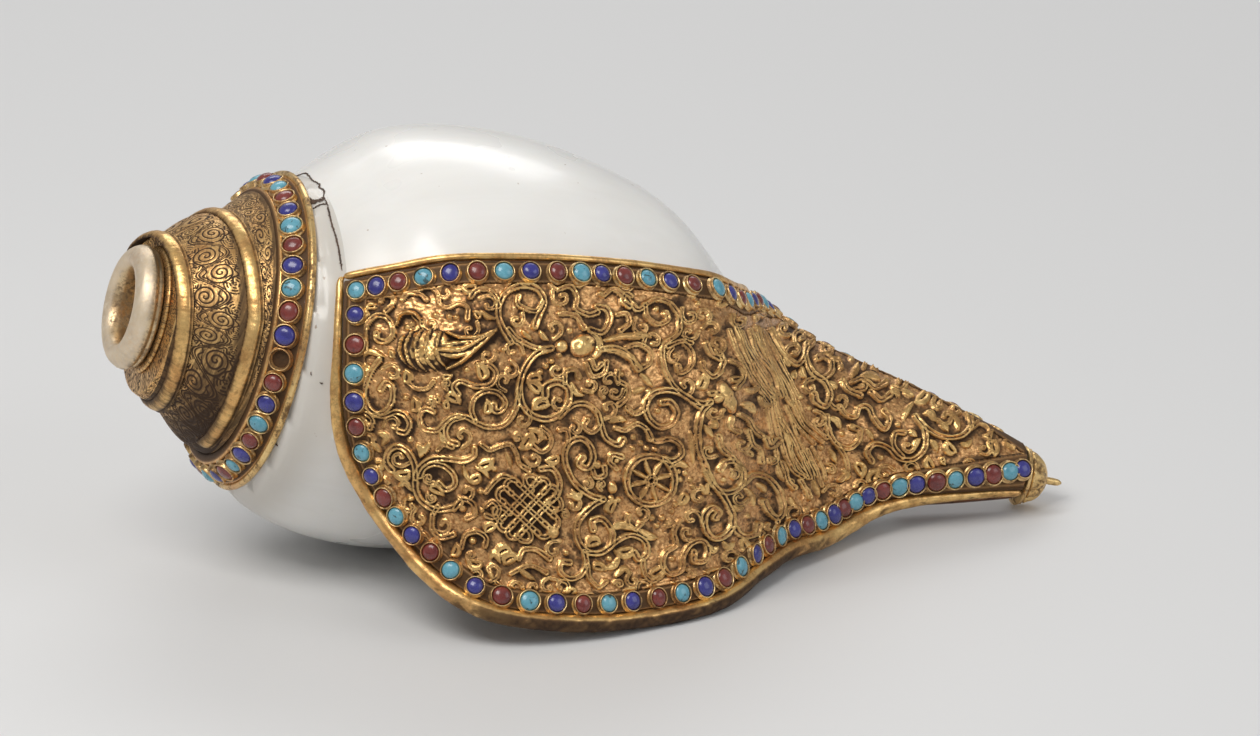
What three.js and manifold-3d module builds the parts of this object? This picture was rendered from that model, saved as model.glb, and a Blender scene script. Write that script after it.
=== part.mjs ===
// Conch shell trumpet: a chank shell lying on its side, with a gilt cap and blow hole on the apex,
// a gilt relief apron over the outer lip, and a ribbed finial at the tip of the canal.
// Sizes are in millimetres. The shell's own axis is x, from the mouthpiece to the tip, with z up and
// -y towards the apron; the whole object is tipped at the end so that it rests on the table.
// Angles round the axis start at the top and grow towards the apron, which is the way the shell grows.
import * as THREE from 'three';
import { mergeVertices } from 'three/addons/utils/BufferGeometryUtils.js';
import Module from 'manifold-3d';

const wasm = await Module();
wasm.setup();

const DEG = Math.PI / 180;
const TURN = 360;
const FULL_CIRCLE = TURN * DEG;
const HALF = 0.5;
const touchingGap = 0.3;
const smallestDetail = 0.02;

// The shell's growth: every turn is the turn before it, made larger about a point beyond the apex.
const growthPerTurn = 1.45;
const apexBeyondMouth = 25;
const whorlLength = 240;
const whorlRadius = 60.3;
const whorlOutlineShares = [
  [0.15, 0.62], [0.175, 0.697], [0.196, 0.763], [0.2375, 0.896], [0.283, 0.965], [0.367, 1], [0.458, 0.959],
  [0.542, 0.85], [0.608, 0.64], [0.658, 0.48], [0.733, 0.345], [0.792, 0.285], [0.9, 0.179], [1, 0.05],
];
const growthFadeStartShare = 0.5;
const growthFadeEndShare = 0.82;
const wallThickness = 3.2;
const wallThinning = 0.6;
const shoulderCrowding = 1.35;
const firstTurn = -2.6;
const lipTurn = 0.3;
const sawnSpireAt = 18;
const shellEndShare = 0.94167;
const shellEndsAt = shellEndShare * whorlLength;
const spireClearance = 1.7;
const runOverlap = 0.013;
const shellRuns = [
  { from: firstTurn, to: -1.8, stepsRound: 10, stepsAlong: 7 },
  { from: -1.8, to: -1, stepsRound: 14, stepsAlong: 9 },
  { from: -1, to: -0.3, stepsRound: 17, stepsAlong: 12 },
  { from: -0.3, to: lipTurn, stepsRound: 15, stepsAlong: 16 },
];

// The columella, the pillar that the whorls wind round.
const columellaBore = 0.5;
const columellaOutlineShares = [[3.6, 0.10833], [6, 0.25], [6, 0.54167], [4.5, 0.72917], [2.4, 0.90833]];
const columellaSides = 12;

// The canal leans a little towards the apron side.
const bendStartShare = 0.54167;
const bendStartsAt = bendStartShare * whorlLength;
const bendOffset = 17;
const bendPower = 1.7;
const bendUpAngle = 13;

// The spire sits a little low on the axis.
const spireDrop = 0.9;
const spireDropTo = 48;

// The cap follows the spiral of the spire it was raised over.
const spiralStation = 31.3;
const spiralRadiusShare = 0.335;
const spiralRadius = spiralRadiusShare * whorlRadius;
const leanFrontShare = 0.05;
const leanUpShare = 0.02;
const capSheetThickness = 0.8;
const capSheetEndsAt = 28.4;
const capHollowShare = 0.03;
const capHollowMeanShare = 0.035;
const capHollowPhase = 0.12;
const mouldingStartTurn = -0.15;
const mouldingEndTurn = 1.42;
const mouldingWidth = 3.4;
const mouldingHeight = 1.1;

// The band that carries the cap's stones.
const jewelBandEndsAt = 34.4;
const jewelBandThickness = 0.9;
const capStonePlaces = 39;
const emptyPlace = 15;
const stoneRadius = 2.3;
const stoneHeight = 1.5;
const colletWall = 0.45;
const colletHeight = 1.1;
const edgeRimRadius = 0.8;
const edgeRimAt = 35.5;
const edgeRimLift = 0.95;
const sutureClearance = 0.98;
const suture = edgeRimAt + sutureClearance;

// The mouthpiece.
const blowHoleRadius = 9;
const lipRollRadius = 3.4;
const lipRollStation = 2.4;
const flangeRadius = 16;
const flangeWidth = 5.3;
const flangeThickness = 1.4;
const blowTubeEndRadius = 5;
const blowTubeWall = 0.8;
const blowTubeEndsAt = 16.5;
const blowTubeStartsAt = 5.4;
const cementStartsAt = 8.5;
const cementEndsAt = 17;

// A table of [share of the way along the apron, value] turned to [place along the axis, value].
function onApron(shares) {
  return shares.map(([share, value]) => [THREE.MathUtils.lerp(apronStartsAt, apronEndsAt, share), value]);
}

// The apron's outline on the shell: places as shares of the apron's own length, and angles round the shell.
const apronClearance = 6.5;
const apronStartsAt = edgeRimAt + apronClearance;
const apronEndShare = 0.97917;
const apronEndsAt = apronEndShare * whorlLength;
const apronTopEdge = onApron([
  [0, 53.5], [0.0933, 50.5], [0.1969, 48.5], [0.3523, 44.5], [0.4715, 39.5], [0.5389, 31], [0.5959, 9],
  [0.6632, -18], [0.8446, -24], [1, -22],
]);
const apronLeftEdge = onApron([
  [0, 53.5], [0.0052, 70], [0.0207, 90], [0.0466, 103.5], [0.0907, 112], [0.1503, 115.8],
]);
const apronFreeEdge = onApron([
  [0.1503, 115.8], [0.1917, 116.3], [0.2435, 115.8], [0.3109, 114.8], [0.3886, 113.8], [0.4611, 112.8],
  [0.5337, 111.8], [0.6062, 111.5], [0.6788, 113.5], [0.7461, 116.5], [0.8187, 113], [0.9119, 107], [1, 101],
]);
const apronTipEdge = onApron([[1, -22], [1, 40], [1, 101]]);
const flareStartAngle = 88;
const flareFullAngle = 117;
const flarePower = 2.6;
const flareOutShares = [
  [0.1667, 0], [0.2292, 0.0066], [0.2792, 0.0763], [0.3625, 0.2554], [0.4583, 0.3151], [0.5625, 0.3151],
  [0.6583, 0.2902], [0.725, 0.2819], [0.7833, 0.141], [0.8417, 0.0415], [0.9167, 0.01], [1.0208, 0.0066],
];
const liningThickness = 0.7;
const plateThickness = 1;
const liningClearance = 1.1;
const liningEdgeShare = 0.012;
const apronStepsAlong = 32;
const apronStepsAcross = 10;

// The main stems of the relief, drawn flat as the apron is seen from the front and then pressed onto its sheet.
// The drawing's unit is a quarter of a millimetre; its x runs right and its y down.
const drawingUnit = 0.25;
const drawingOrigin = [127, 302];
const drawingTurn = -15.05;
const drawingRise = 20;
const stemHalfWidth = 1.3;
const stemHeight = 1.3;
const stemSink = 0.6;
const stepsBetween = 1;
const stemDetail = 0.2;
const underPlate = 3;
const stemPaths = [
  [[384, 360], [371, 382], [373, 406], [392, 410], [399, 390]],
  [[472, 459], [446, 455], [420, 474], [427, 500], [450, 503], [452, 484]],
  [[437, 411], [424, 421], [440, 431], [462, 417], [492, 426], [514, 415], [520, 386], [530, 362], [552, 349]],
  [[478, 420], [472, 402], [487, 389], [506, 400], [499, 413]],
  [[513, 343], [500, 311], [522, 288], [547, 301], [538, 326]],
  [[603, 297], [624, 297], [650, 303], [672, 322], [662, 347], [666, 374], [690, 399], [702, 428], [703, 464], [720, 494], [727, 524], [706, 532], [704, 508]],
  [[690, 399], [664, 388], [643, 404], [655, 427], [676, 416]],
  [[618, 443], [601, 424], [580, 432], [565, 454], [576, 482], [600, 484], [598, 462]],
  [[603, 497], [579, 518], [584, 547], [612, 545], [610, 522]],
  [[733, 328], [756, 378], [773, 398], [781, 447], [798, 476]],
  [[752, 335], [772, 368], [790, 403], [815, 437]],
  [[820, 352], [806, 366], [819, 383], [834, 372], [828, 360]],
  [[916, 444], [899, 458], [877, 448], [884, 430]],
];
const wheelCentre = [649.5, 478.5];
const wheelRadius = 24;
const wheelSides = 8;
const wheelSpokes = 2;
const knotCentre = [529, 506];
const knotTurn = 43;
const knotPitch = 9;
const knotRows = [-1, 1];
const knotReach = 27;
const bossPaths = [
  { path: [[408, 343], [431, 351], [462, 350]], halfWidth: 3, height: 2 },
];

// The apron's edges and its jewelled border.
const rimRollRadius = 2.1;
const rimRollThinnest = 0.9;
const rimThinsFromShare = 0.86;
const rimRollSteps = 52;
const rodClearance = 0.6;
const filletRadius = 1;
const filletShares = [0.015, 0.418];
const rodSides = 8;
const filletSides = 6;
const borderInset = 3.3;
const borderWidth = 5;
const borderThickness = 0.6;
const borderClearance = 0.55;
const borderStones = 76;
const marginTopShare = 0.42;
const marginSideShare = 0.58;
const marginProbe = 0.02;
const marginStep = 0.004;
const studHeight = 1.5;
const studRadius = 2.3;
const studBase = 0.3;
const studTaper = 0.8;
const studSides = 5;
const borderSteps = 90;

// The finial at the tip of the canal.
const collarRadius = 7.6;
const collarLength = 1.8;
const knobRadius = 6.9;
const knobLength = 6;
const knobRibs = 14;
const knobRibDepth = 0.5;
const pinRadius = 0.9;
const pinLength = 3.6;

// The sleeve behind the beak.
const sleeveStartShare = 0.85833;
const sleeveAngle = 129;
const sleeveAngleEnd = 312;
const sleeveMeetsShellAngle = 230;
const sleeveLift = 0.8;

// How the object lies: the axis slopes down towards the tip, so that body, wing and beak all reach the table.
const axisSlope = 16.2;

const finish = {
  shell: [0xf2f0ea, 0.32, 0],
  gilt: [0xc8933a, 0.36, 1],
  giltWorn: [0xcfc0a0, 0.42, 1],
  copper: [0x8a5a3a, 0.5, 1],
  cement: [0x3a2218, 0.8, 0],
  turquoise: [0x4aa3b4, 0.35, 0],
  red: [0x7a2a26, 0.3, 0],
  blue: [0x24257a, 0.3, 0],
};

const conch = new THREE.Group();
conch.rotation.y = axisSlope * DEG;

const cap = new THREE.Group();
cap.position.z = -spireDrop;
conch.add(cap);

function addPart(group, name, geometry, [color, roughness, metalness]) {
  const material = new THREE.MeshStandardMaterial({ color, roughness, metalness });
  const mesh = new THREE.Mesh(facingOut(geometry), material);
  mesh.name = name;
  group.add(mesh);
}

// A smooth curve through [place, value] pairs, as a function of the place.
function smoothThrough(pairs) {
  const places = pairs.map((pair) => pair[0]);
  const values = pairs.map((pair) => pair[1]);
  const curve = new THREE.CubicInterpolant(places, values, 1);
  return (place) => curve.evaluate(place)[0];
}

const outlineRadius = smoothThrough(
  whorlOutlineShares.map(([along, out]) => [along * whorlLength, out * whorlRadius]),
);
const flareOut = smoothThrough(flareOutShares.map(([along, out]) => [along * whorlLength, out * whorlRadius]));

// The cone that the cap is raised on, and the rim at its edge.
function coneRadius(along) {
  return spiralRadius / spiralStation * (along + apexBeyondMouth);
}

const edgeRimCentre = coneRadius(edgeRimAt) + edgeRimLift;

// Growth since the top of the last whorl; towards the canal the last turn stops widening.
function growthAt(turn, station) {
  const grown = growthPerTurn ** turn;
  if (turn <= 0) return grown;
  const fade = 1 - THREE.MathUtils.smoothstep(station / whorlLength, growthFadeStartShare, growthFadeEndShare);
  return 1 + (grown - 1) * fade;
}

function alongAxis(turn, station) {
  return (station + apexBeyondMouth) * growthAt(turn, station) - apexBeyondMouth;
}

// Under the cap the spire is ground down to clear the metal.
function roomUnderCap(along, angle) {
  if (along > edgeRimAt + edgeRimRadius + spireClearance) return Infinity;
  const cone = coneRadius(along);
  if (along > jewelBandEndsAt) return edgeRimCentre - edgeRimRadius - spireClearance;
  const inner = Math.min(cone * capRelief(along, angle) - capSheetThickness, cone - jewelBandThickness);
  return inner - spireClearance;
}

function whorlRadiusAt(turn, station) {
  const free = outlineRadius(station) * growthAt(turn, station);
  return Math.min(free, roomUnderCap(alongAxis(turn, station), turn * TURN));
}

// The outer radius of the last whorl at a place along the axis.
function bodyRadius(along, angle) {
  const turn = angle / TURN;
  let station = along;
  for (let step = 0; step < 8; step += 1) {
    station = (along + apexBeyondMouth) / growthAt(turn, station) - apexBeyondMouth;
  }
  return whorlRadiusAt(turn, station);
}

// A point in the shell's frame, with the bend of the canal put in.
function roundAxis(along, angle, radius) {
  const past = Math.max(0, along - bendStartsAt) / (whorlLength - bendStartsAt);
  const bend = bendOffset * past ** bendPower;
  const drop = spireDrop * (1 - THREE.MathUtils.smoothstep(along, edgeRimAt, spireDropTo));
  return new THREE.Vector3(
    along,
    -radius * Math.sin(angle * DEG) - bend * Math.cos(bendUpAngle * DEG),
    radius * Math.cos(angle * DEG) + bend * Math.sin(bendUpAngle * DEG) - drop,
  );
}

// A point on the cap, which is turned about a straight axis.
function roundCap(along, angle, radius) {
  return new THREE.Vector3(along, -radius * Math.sin(angle * DEG), radius * Math.cos(angle * DEG));
}

// A piece turned on the straight axis, carried over to the bent one.
function onBentAxis(geometry) {
  return moved(geometry, (p) => {
    const { y, z } = roundAxis(p.x, 0, 0);
    return new THREE.Vector3(p.x, p.y + y, p.z + z);
  });
}

// A geometry whose every vertex is moved by a function of where it was.
function moved(geometry, place) {
  const position = geometry.getAttribute('position');
  const point = new THREE.Vector3();
  for (let i = 0; i < position.count; i += 1) {
    point.fromBufferAttribute(position, i);
    const to = place(point);
    position.setXYZ(i, to.x, to.y, to.z);
  }
  geometry.computeVertexNormals();
  return geometry;
}

// A block of unit size, cut into steps and bent to shape by place(u, v, w), all from 0 to 1.
function bentBlock(stepsU, stepsV, place) {
  const block = new THREE.BoxGeometry(1, 1, 1, stepsU, stepsV, 1);
  return moved(block, (p) => place(p.x + HALF, p.y + HALF, p.z + HALF));
}

// The same surface with its faces outward, whichever way its place function ran.
function facingOut(geometry) {
  const loose = geometry.index ? geometry.toNonIndexed() : geometry;
  const position = loose.getAttribute('position');
  const corners = [new THREE.Vector3(), new THREE.Vector3(), new THREE.Vector3()];
  let volume = 0;
  for (let i = 0; i < position.count; i += 3) {
    corners.forEach((corner, k) => corner.fromBufferAttribute(position, i + k));
    volume += corners[0].dot(corners[1].clone().cross(corners[2]));
  }
  if (volume > 0) return loose;
  for (let i = 0; i < position.count; i += 3) {
    corners.forEach((corner, k) => corner.fromBufferAttribute(position, i + k));
    position.setXYZ(i + 1, corners[2].x, corners[2].y, corners[2].z);
    position.setXYZ(i + 2, corners[1].x, corners[1].y, corners[1].z);
  }
  loose.computeVertexNormals();
  return loose;
}

function toSolid(geometry) {
  const bare = facingOut(geometry).clone();
  bare.deleteAttribute('normal');
  bare.deleteAttribute('uv');
  const merged = mergeVertices(bare, 1e-4);
  return new wasm.Manifold(new wasm.Mesh({
    numProp: 3,
    vertProperties: merged.getAttribute('position').array,
    triVerts: new Uint32Array(merged.index.array),
  }));
}

function fromSolid(solid) {
  const mesh = solid.getMesh();
  const geometry = new THREE.BufferGeometry();
  geometry.setAttribute('position', new THREE.BufferAttribute(mesh.vertProperties, 3));
  geometry.setIndex(new THREE.BufferAttribute(mesh.triVerts, 1));
  geometry.computeVertexNormals();
  return geometry;
}

// A turned piece on the shell's axis, from [radius, along] points.
function turned(profile, segments) {
  const points = profile.map(([radius, along]) => new THREE.Vector2(radius, along));
  points.push(points[0].clone());
  return new THREE.LatheGeometry(points, segments).rotateZ(-TURN * DEG / 4);
}

// The shell: the whorls' wall in runs of under a turn, joined to the columella.
function whorlRun({ from, to, stepsRound, stepsAlong }) {
  return bentBlock(stepsRound, stepsAlong, (u, v, w) => {
    const turn = from - runOverlap + (to - from + runOverlap) * u;
    const station = suture + (whorlLength - suture) * v ** shoulderCrowding;
    const wall = wallThickness * (growthPerTurn ** turn) ** wallThinning;
    const canalShare = 1 - HALF * v * v;
    const radius = whorlRadiusAt(turn, station) - (1 - w) * wall * canalShare;
    return roundAxis(alongAxis(turn, station), turn * TURN, Math.max(radius, 1 - HALF * (1 - w)));
  });
}

function makeShell() {
  const outline = columellaOutlineShares.map(([radius, share]) => [radius, share * whorlLength]);
  const first = outline[0][1];
  const last = outline.at(-1)[1];
  const columella = turned([[columellaBore, first], ...outline, [columellaBore, last]], columellaSides);
  let shell = toSolid(onBentAxis(columella));
  for (const run of shellRuns) shell = shell.add(toSolid(whorlRun(run)));
  const cutSpan = whorlLength;
  const sawn = new THREE.BoxGeometry(cutSpan, cutSpan, cutSpan).translate(sawnSpireAt - HALF * cutSpan, 0, 0);
  const end = new THREE.BoxGeometry(cutSpan, cutSpan, cutSpan).translate(shellEndsAt + HALF * cutSpan, 0, 0);
  const pieces = shell.subtract(toSolid(sawn)).subtract(toSolid(end)).simplify(smallestDetail).decompose();
  return fromSolid(pieces.reduce((largest, piece) => (piece.volume() > largest.volume() ? piece : largest)));
}

addPart(conch, 'shell', makeShell(), finish.shell);

// The mouthpiece: the rolled lip, the flange behind it, and the tube that leads into the shell.
function makeLipRoll() {
  const centre = blowHoleRadius + lipRollRadius;
  const steps = 8;
  const profile = [];
  for (let i = 0; i < steps; i += 1) {
    const around = -FULL_CIRCLE * i / steps;
    profile.push([centre + lipRollRadius * Math.cos(around), lipRollStation + lipRollRadius * Math.sin(around)]);
  }
  return turned(profile.reverse(), 24);
}

function makeFlange() {
  const behind = lipRollStation + lipRollRadius + touchingGap;
  const inner = flangeRadius - flangeWidth;
  return turned([
    [inner, behind], [flangeRadius - flangeThickness, behind], [flangeRadius, behind + HALF * flangeThickness],
    [flangeRadius, behind + flangeThickness], [inner, behind + flangeThickness],
  ], 24);
}

function makeBlowTube() {
  const start = blowTubeStartsAt + lipRollStation;
  const wide = blowHoleRadius + blowTubeWall;
  const narrow = blowTubeEndRadius;
  return turned([
    [wide - blowTubeWall, start], [wide, start], [narrow + blowTubeWall, cementStartsAt + HALF * blowHoleRadius],
    [narrow + blowTubeWall, blowTubeEndsAt], [narrow, blowTubeEndsAt],
    [narrow, cementStartsAt + HALF * blowHoleRadius],
  ].reverse(), 20);
}

// The cap's sheet follows the spiral: it hollows a little between one moulding and the next.
function capRelief(along, angle) {
  const turnsOut = Math.log((along + apexBeyondMouth) / spiralStation) / Math.log(growthPerTurn) - angle / TURN;
  const wave = Math.cos(FULL_CIRCLE * (turnsOut - capHollowPhase));
  return 1 - capHollowMeanShare - capHollowShare * wave;
}

function spiralShape(geometry) {
  return moved(geometry, (p) => {
    const angle = Math.atan2(-p.y, p.z) / DEG;
    const relief = capRelief(p.x, angle);
    return new THREE.Vector3(p.x, p.y * relief, p.z * relief);
  });
}

function coneProfile(from, to, steps, inset, depth) {
  const outer = [];
  const inner = [];
  for (let i = 0; i <= steps; i += 1) {
    const along = from + (to - from) * i / steps;
    outer.push([coneRadius(along) - inset, along]);
    inner.unshift([coneRadius(along) - inset - depth, along]);
  }
  return [...outer, ...inner];
}

function makeCapSheet() {
  const from = lipRollStation + lipRollRadius + 2 * touchingGap + flangeThickness;
  return spiralShape(turned(coneProfile(from, capSheetEndsAt, 7, 0, capSheetThickness), 34));
}

function makeCement() {
  const under = capSheetThickness + 2 * touchingGap;
  const bore = blowTubeEndRadius + blowTubeWall + 3 * touchingGap;
  const wide = blowHoleRadius + blowTubeWall + 3 * touchingGap;
  const tubeStraight = cementStartsAt + HALF * blowHoleRadius + touchingGap;
  const rim = [];
  for (const along of [cementStartsAt, HALF * (cementStartsAt + cementEndsAt), cementEndsAt]) {
    rim.push([coneRadius(along) - under, along]);
  }
  return spiralShape(turned([[wide, cementStartsAt], ...rim, [bore, cementEndsAt], [bore, tubeStraight]], 28));
}

// The spiral moulding, a strip laid along the line where one whorl of the spire meets the next.
function makeSpiralMoulding() {
  const steps = 60;
  return bentBlock(steps, 1, (u, v, w) => {
    const turn = mouldingStartTurn + (mouldingEndTurn - mouldingStartTurn) * u;
    const angle = turn * TURN;
    const grown = growthPerTurn ** turn;
    const centre = spiralStation * grown - apexBeyondMouth;
    const across = (v - HALF) * mouldingWidth;
    const radiusHere = spiralRadius * grown;
    const lean = radiusHere * (leanFrontShare * Math.sin(angle * DEG) - leanUpShare * Math.cos(angle * DEG));
    const along = Math.min(centre + lean, capSheetEndsAt - mouldingWidth) + across;
    const base = coneRadius(along) * capRelief(along, angle) + touchingGap;
    return roundCap(along, angle, base + w * mouldingHeight);
  });
}

// A stone's place on the jewel band: its centre and the way it faces.
function capPlace(index) {
  const angle = TURN * index / capStonePlaces;
  const along = HALF * (capSheetEndsAt + jewelBandEndsAt) + HALF * touchingGap;
  const slope = Math.atan2(spiralRadius, spiralStation);
  const surface = roundCap(along, angle, coneRadius(along));
  const facing = new THREE.Vector3(
    -Math.sin(slope),
    -Math.cos(slope) * Math.sin(angle * DEG),
    Math.cos(slope) * Math.cos(angle * DEG),
  );
  return { surface, facing };
}

// A turned piece stood on a surface, its own axis along the way the surface faces.
function stoodOn(profile, segments, { surface, facing }) {
  const points = profile.map(([radius, up]) => new THREE.Vector2(radius, up));
  const geometry = new THREE.LatheGeometry(points, segments);
  const turn = new THREE.Quaternion().setFromUnitVectors(new THREE.Vector3(0, 1, 0), facing);
  return geometry.applyQuaternion(turn).translate(surface.x, surface.y, surface.z);
}

function makeJewelBand() {
  const from = capSheetEndsAt + touchingGap;
  let band = toSolid(turned(coneProfile(from, jewelBandEndsAt, 1, 0, jewelBandThickness), 39));
  const outer = stoneRadius + touchingGap + colletWall;
  const inner = stoneRadius + touchingGap;
  for (let i = 0; i < capStonePlaces; i += 1) {
    const collet = stoodOn([
      [0, -HALF * jewelBandThickness], [outer, -HALF * jewelBandThickness], [outer, colletHeight],
      [inner, colletHeight], [inner, touchingGap], [0, touchingGap],
    ], 6, capPlace(i));
    band = band.add(toSolid(collet));
  }
  return fromSolid(band);
}

function makeStone(place) {
  const base = 2 * touchingGap;
  return stoodOn([
    [0, base], [stoneRadius, base], [stoneRadius, base + HALF * stoneHeight],
    [0, base + stoneHeight],
  ], 6, place);
}

function makeEdgeRim() {
  const steps = 6;
  const profile = [];
  for (let i = 0; i < steps; i += 1) {
    const around = FULL_CIRCLE * i / steps;
    profile.push([
      edgeRimCentre + edgeRimRadius * Math.cos(around), edgeRimAt + edgeRimRadius * Math.sin(around),
    ]);
  }
  return turned(profile, 36);
}

// The apron. Its sheet is laid out between four edges, drawn on the shell as [along, angle].
function edgeCurve(pairs) {
  return new THREE.SplineCurve(pairs.map(([along, angle]) => new THREE.Vector2(along, angle)));
}

const topEdge = edgeCurve(apronTopEdge);
const freeEdge = edgeCurve(apronFreeEdge);
const leftEdge = edgeCurve(apronLeftEdge);
const tipEdge = edgeCurve(apronTipEdge);

// Where a share s along the apron and a share q across it falls: [along, angle].
function apronSpot(s, q) {
  const top = topEdge.getPointAt(THREE.MathUtils.clamp(s, 0, 1));
  const free = freeEdge.getPointAt(THREE.MathUtils.clamp(s, 0, 1));
  const left = leftEdge.getPointAt(THREE.MathUtils.clamp(q, 0, 1));
  const tip = tipEdge.getPointAt(THREE.MathUtils.clamp(q, 0, 1));
  const spot = top.multiplyScalar(1 - q).addScaledVector(free, q).addScaledVector(left, 1 - s).addScaledVector(tip, s);
  spot.addScaledVector(topEdge.getPoint(0), -(1 - s) * (1 - q)).addScaledVector(topEdge.getPoint(1), -s * (1 - q));
  spot.addScaledVector(freeEdge.getPoint(0), -(1 - s) * q).addScaledVector(freeEdge.getPoint(1), -s * q);
  return spot;
}

function apronRadius(along, angle) {
  const past = Math.max(0, angle - flareStartAngle) / (flareFullAngle - flareStartAngle);
  return bodyRadius(along, angle) + flareOut(along) * past ** flarePower;
}

function apronPoint(s, q, lift) {
  const { x: along, y: angle } = apronSpot(s, q);
  return roundAxis(along, angle, apronRadius(along, angle) + lift);
}

// The share of the sheet that an inset in millimetres, square to the edge, takes up at a spot of the edge.
function insetShare(inset, spot, inward, beside) {
  const from = apronPoint(...spot, 0);
  const step = apronPoint(...inward, 0).sub(from);
  const edge = apronPoint(...beside, 0).sub(from).normalize();
  const reach = step.addScaledVector(edge, -step.dot(edge)).length();
  return inset * marginProbe / reach;
}

function nextTo(share) {
  return share > HALF ? share - marginProbe : share + marginProbe;
}

function besideLeft(q, inset) {
  return insetShare(inset, [0, q], [marginProbe, q], [0, nextTo(q)]);
}

function belowTop(s, inset) {
  return insetShare(inset, [s, 0], [s, marginProbe], [nextTo(s), 0]);
}

function aboveFree(s, inset) {
  return insetShare(inset, [s, 1], [s, 1 - marginProbe], [nextTo(s), 1]);
}

// A point that runs round the apron's margin: along the top edge from the tip, down the left, along the free edge.
function marginPoint(t, inset, lift) {
  if (t < marginTopShare) {
    const corner = besideLeft(0, inset);
    const s = corner + (1 - corner) * (1 - t / marginTopShare);
    return apronPoint(s, belowTop(s, inset), lift);
  }
  if (t > marginSideShare) {
    const corner = besideLeft(1, inset);
    const s = corner + (1 - corner) * (t - marginSideShare) / (1 - marginSideShare);
    return apronPoint(s, 1 - aboveFree(s, inset), lift);
  }
  const down = (t - marginTopShare) / (marginSideShare - marginTopShare);
  const from = belowTop(besideLeft(0, inset), inset);
  const to = 1 - aboveFree(besideLeft(1, inset), inset);
  const q = from + (to - from) * down;
  return apronPoint(besideLeft(q, inset), q, lift);
}

const liningLift = liningClearance;
const plateLift = liningLift + liningThickness + touchingGap;
const borderLift = plateLift + plateThickness + borderClearance;

// Where a point of the sheet falls in the drawing.
function drawnAt(point) {
  const seen = point.clone().applyAxisAngle(new THREE.Vector3(0, 1, 0), axisSlope * DEG);
  seen.applyAxisAngle(new THREE.Vector3(0, 0, 1), -drawingTurn * DEG);
  seen.applyAxisAngle(new THREE.Vector3(1, 0, 0), drawingRise * DEG);
  return [drawingOrigin[0] + seen.x / drawingUnit, drawingOrigin[1] - seen.z / drawingUnit];
}

// The shares along and across the sheet of a point of the drawing, found by closing in on it.
function pressedOn([x, y]) {
  const spot = [HALF, HALF];
  for (let step = 0; step < 24; step += 1) {
    const [s, q] = spot;
    const here = drawnAt(apronPoint(s, q, plateLift));
    const along = drawnAt(apronPoint(s + marginStep, q, plateLift)).map((value, k) => (value - here[k]) / marginStep);
    const across = drawnAt(apronPoint(s, q + marginStep, plateLift)).map((value, k) => (value - here[k]) / marginStep);
    const spread = along[0] * across[1] - along[1] * across[0];
    const missX = x - here[0];
    const missY = y - here[1];
    const inside = (share) => THREE.MathUtils.clamp(share, marginProbe, 1 - marginProbe);
    spot[0] = inside(s + (missX * across[1] - missY * across[0]) / spread);
    spot[1] = inside(q + (missY * along[0] - missX * along[1]) / spread);
  }
  return spot;
}

// A ridge that follows a path of the drawing over the sheet, sunk into it a little.
function makeRidge(path, halfWidth, height) {
  const curve = new THREE.SplineCurve(path.map(([x, y]) => new THREE.Vector2(x, y)));
  const steps = path.length > 2 ? stepsBetween * (path.length - 1) : 2;
  const spots = curve.getPoints(steps).map(({ x, y }) => pressedOn([x, y]));
  const surface = plateLift + plateThickness;
  const points = spots.map(([s, q]) => apronPoint(s, q, surface));
  const ridge = new THREE.CylinderGeometry(1, 1, 1, 3, steps);
  return moved(ridge, (p) => {
    const step = Math.round((p.y + HALF) * steps);
    const [s, q] = spots[step];
    const along = points[Math.min(step + 1, steps)].clone().sub(points[Math.max(step - 1, 0)]).normalize();
    const upward = apronPoint(s, q, surface + 1).sub(points[step]);
    upward.addScaledVector(along, -upward.dot(along)).normalize();
    const aside = along.clone().cross(upward);
    const lift = p.z > HALF ? height : -stemSink;
    return points[step].clone().addScaledVector(upward, lift).addScaledVector(aside, p.x / Math.sin(TURN / 3 * DEG) * halfWidth);
  });
}

// The wheel's rim and spokes, and the straps of the knot.
function wheelAndKnotPaths() {
  const round = ([x, y], radius, angle) => [x + radius * Math.cos(angle * DEG), y + radius * Math.sin(angle * DEG)];
  const rim = Array.from({ length: wheelSides + 1 }, (_, i) => round(wheelCentre, wheelRadius, TURN * i / wheelSides));
  const spokes = Array.from({ length: wheelSpokes }, (_, i) => {
    const angle = HALF * TURN * i / wheelSpokes;
    return [round(wheelCentre, -wheelRadius, angle), round(wheelCentre, wheelRadius, angle)];
  });
  const straps = knotRows.flatMap((row) => [0, TURN / 4].map((quarter) => {
    const middle = round(knotCentre, row * knotPitch, knotTurn + quarter + TURN / 4);
    return [round(middle, -knotReach, knotTurn + quarter), round(middle, knotReach, knotTurn + quarter)];
  }));
  return [rim, ...spokes, ...straps];
}

function makeApronPlate() {
  let plate = toSolid(bentBlock(apronStepsAlong, apronStepsAcross, (u, v, w) => (
    apronPoint(u, v, plateLift + w * plateThickness)
  )));
  for (const path of [...stemPaths, ...wheelAndKnotPaths()]) {
    plate = plate.add(toSolid(makeRidge(path, stemHalfWidth, stemHeight)));
  }
  for (const { path, halfWidth, height } of bossPaths) plate = plate.add(toSolid(makeRidge(path, halfWidth, height)));
  const under = toSolid(bentBlock(apronStepsAlong, apronStepsAcross, (u, v, w) => (
    apronPoint(u, v, plateLift - (1 - w) * underPlate)
  )));
  return fromSolid(plate.subtract(under).simplify(stemDetail));
}

// The lining is laid on the same grid as the plate, so that the two never cross.
function makeLining() {
  return bentBlock(apronStepsAlong, apronStepsAcross, (u, v, w) => (
    apronPoint(Math.max(u, liningEdgeShare), v, liningLift + (1 - w) * liningThickness)
  ));
}

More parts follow.
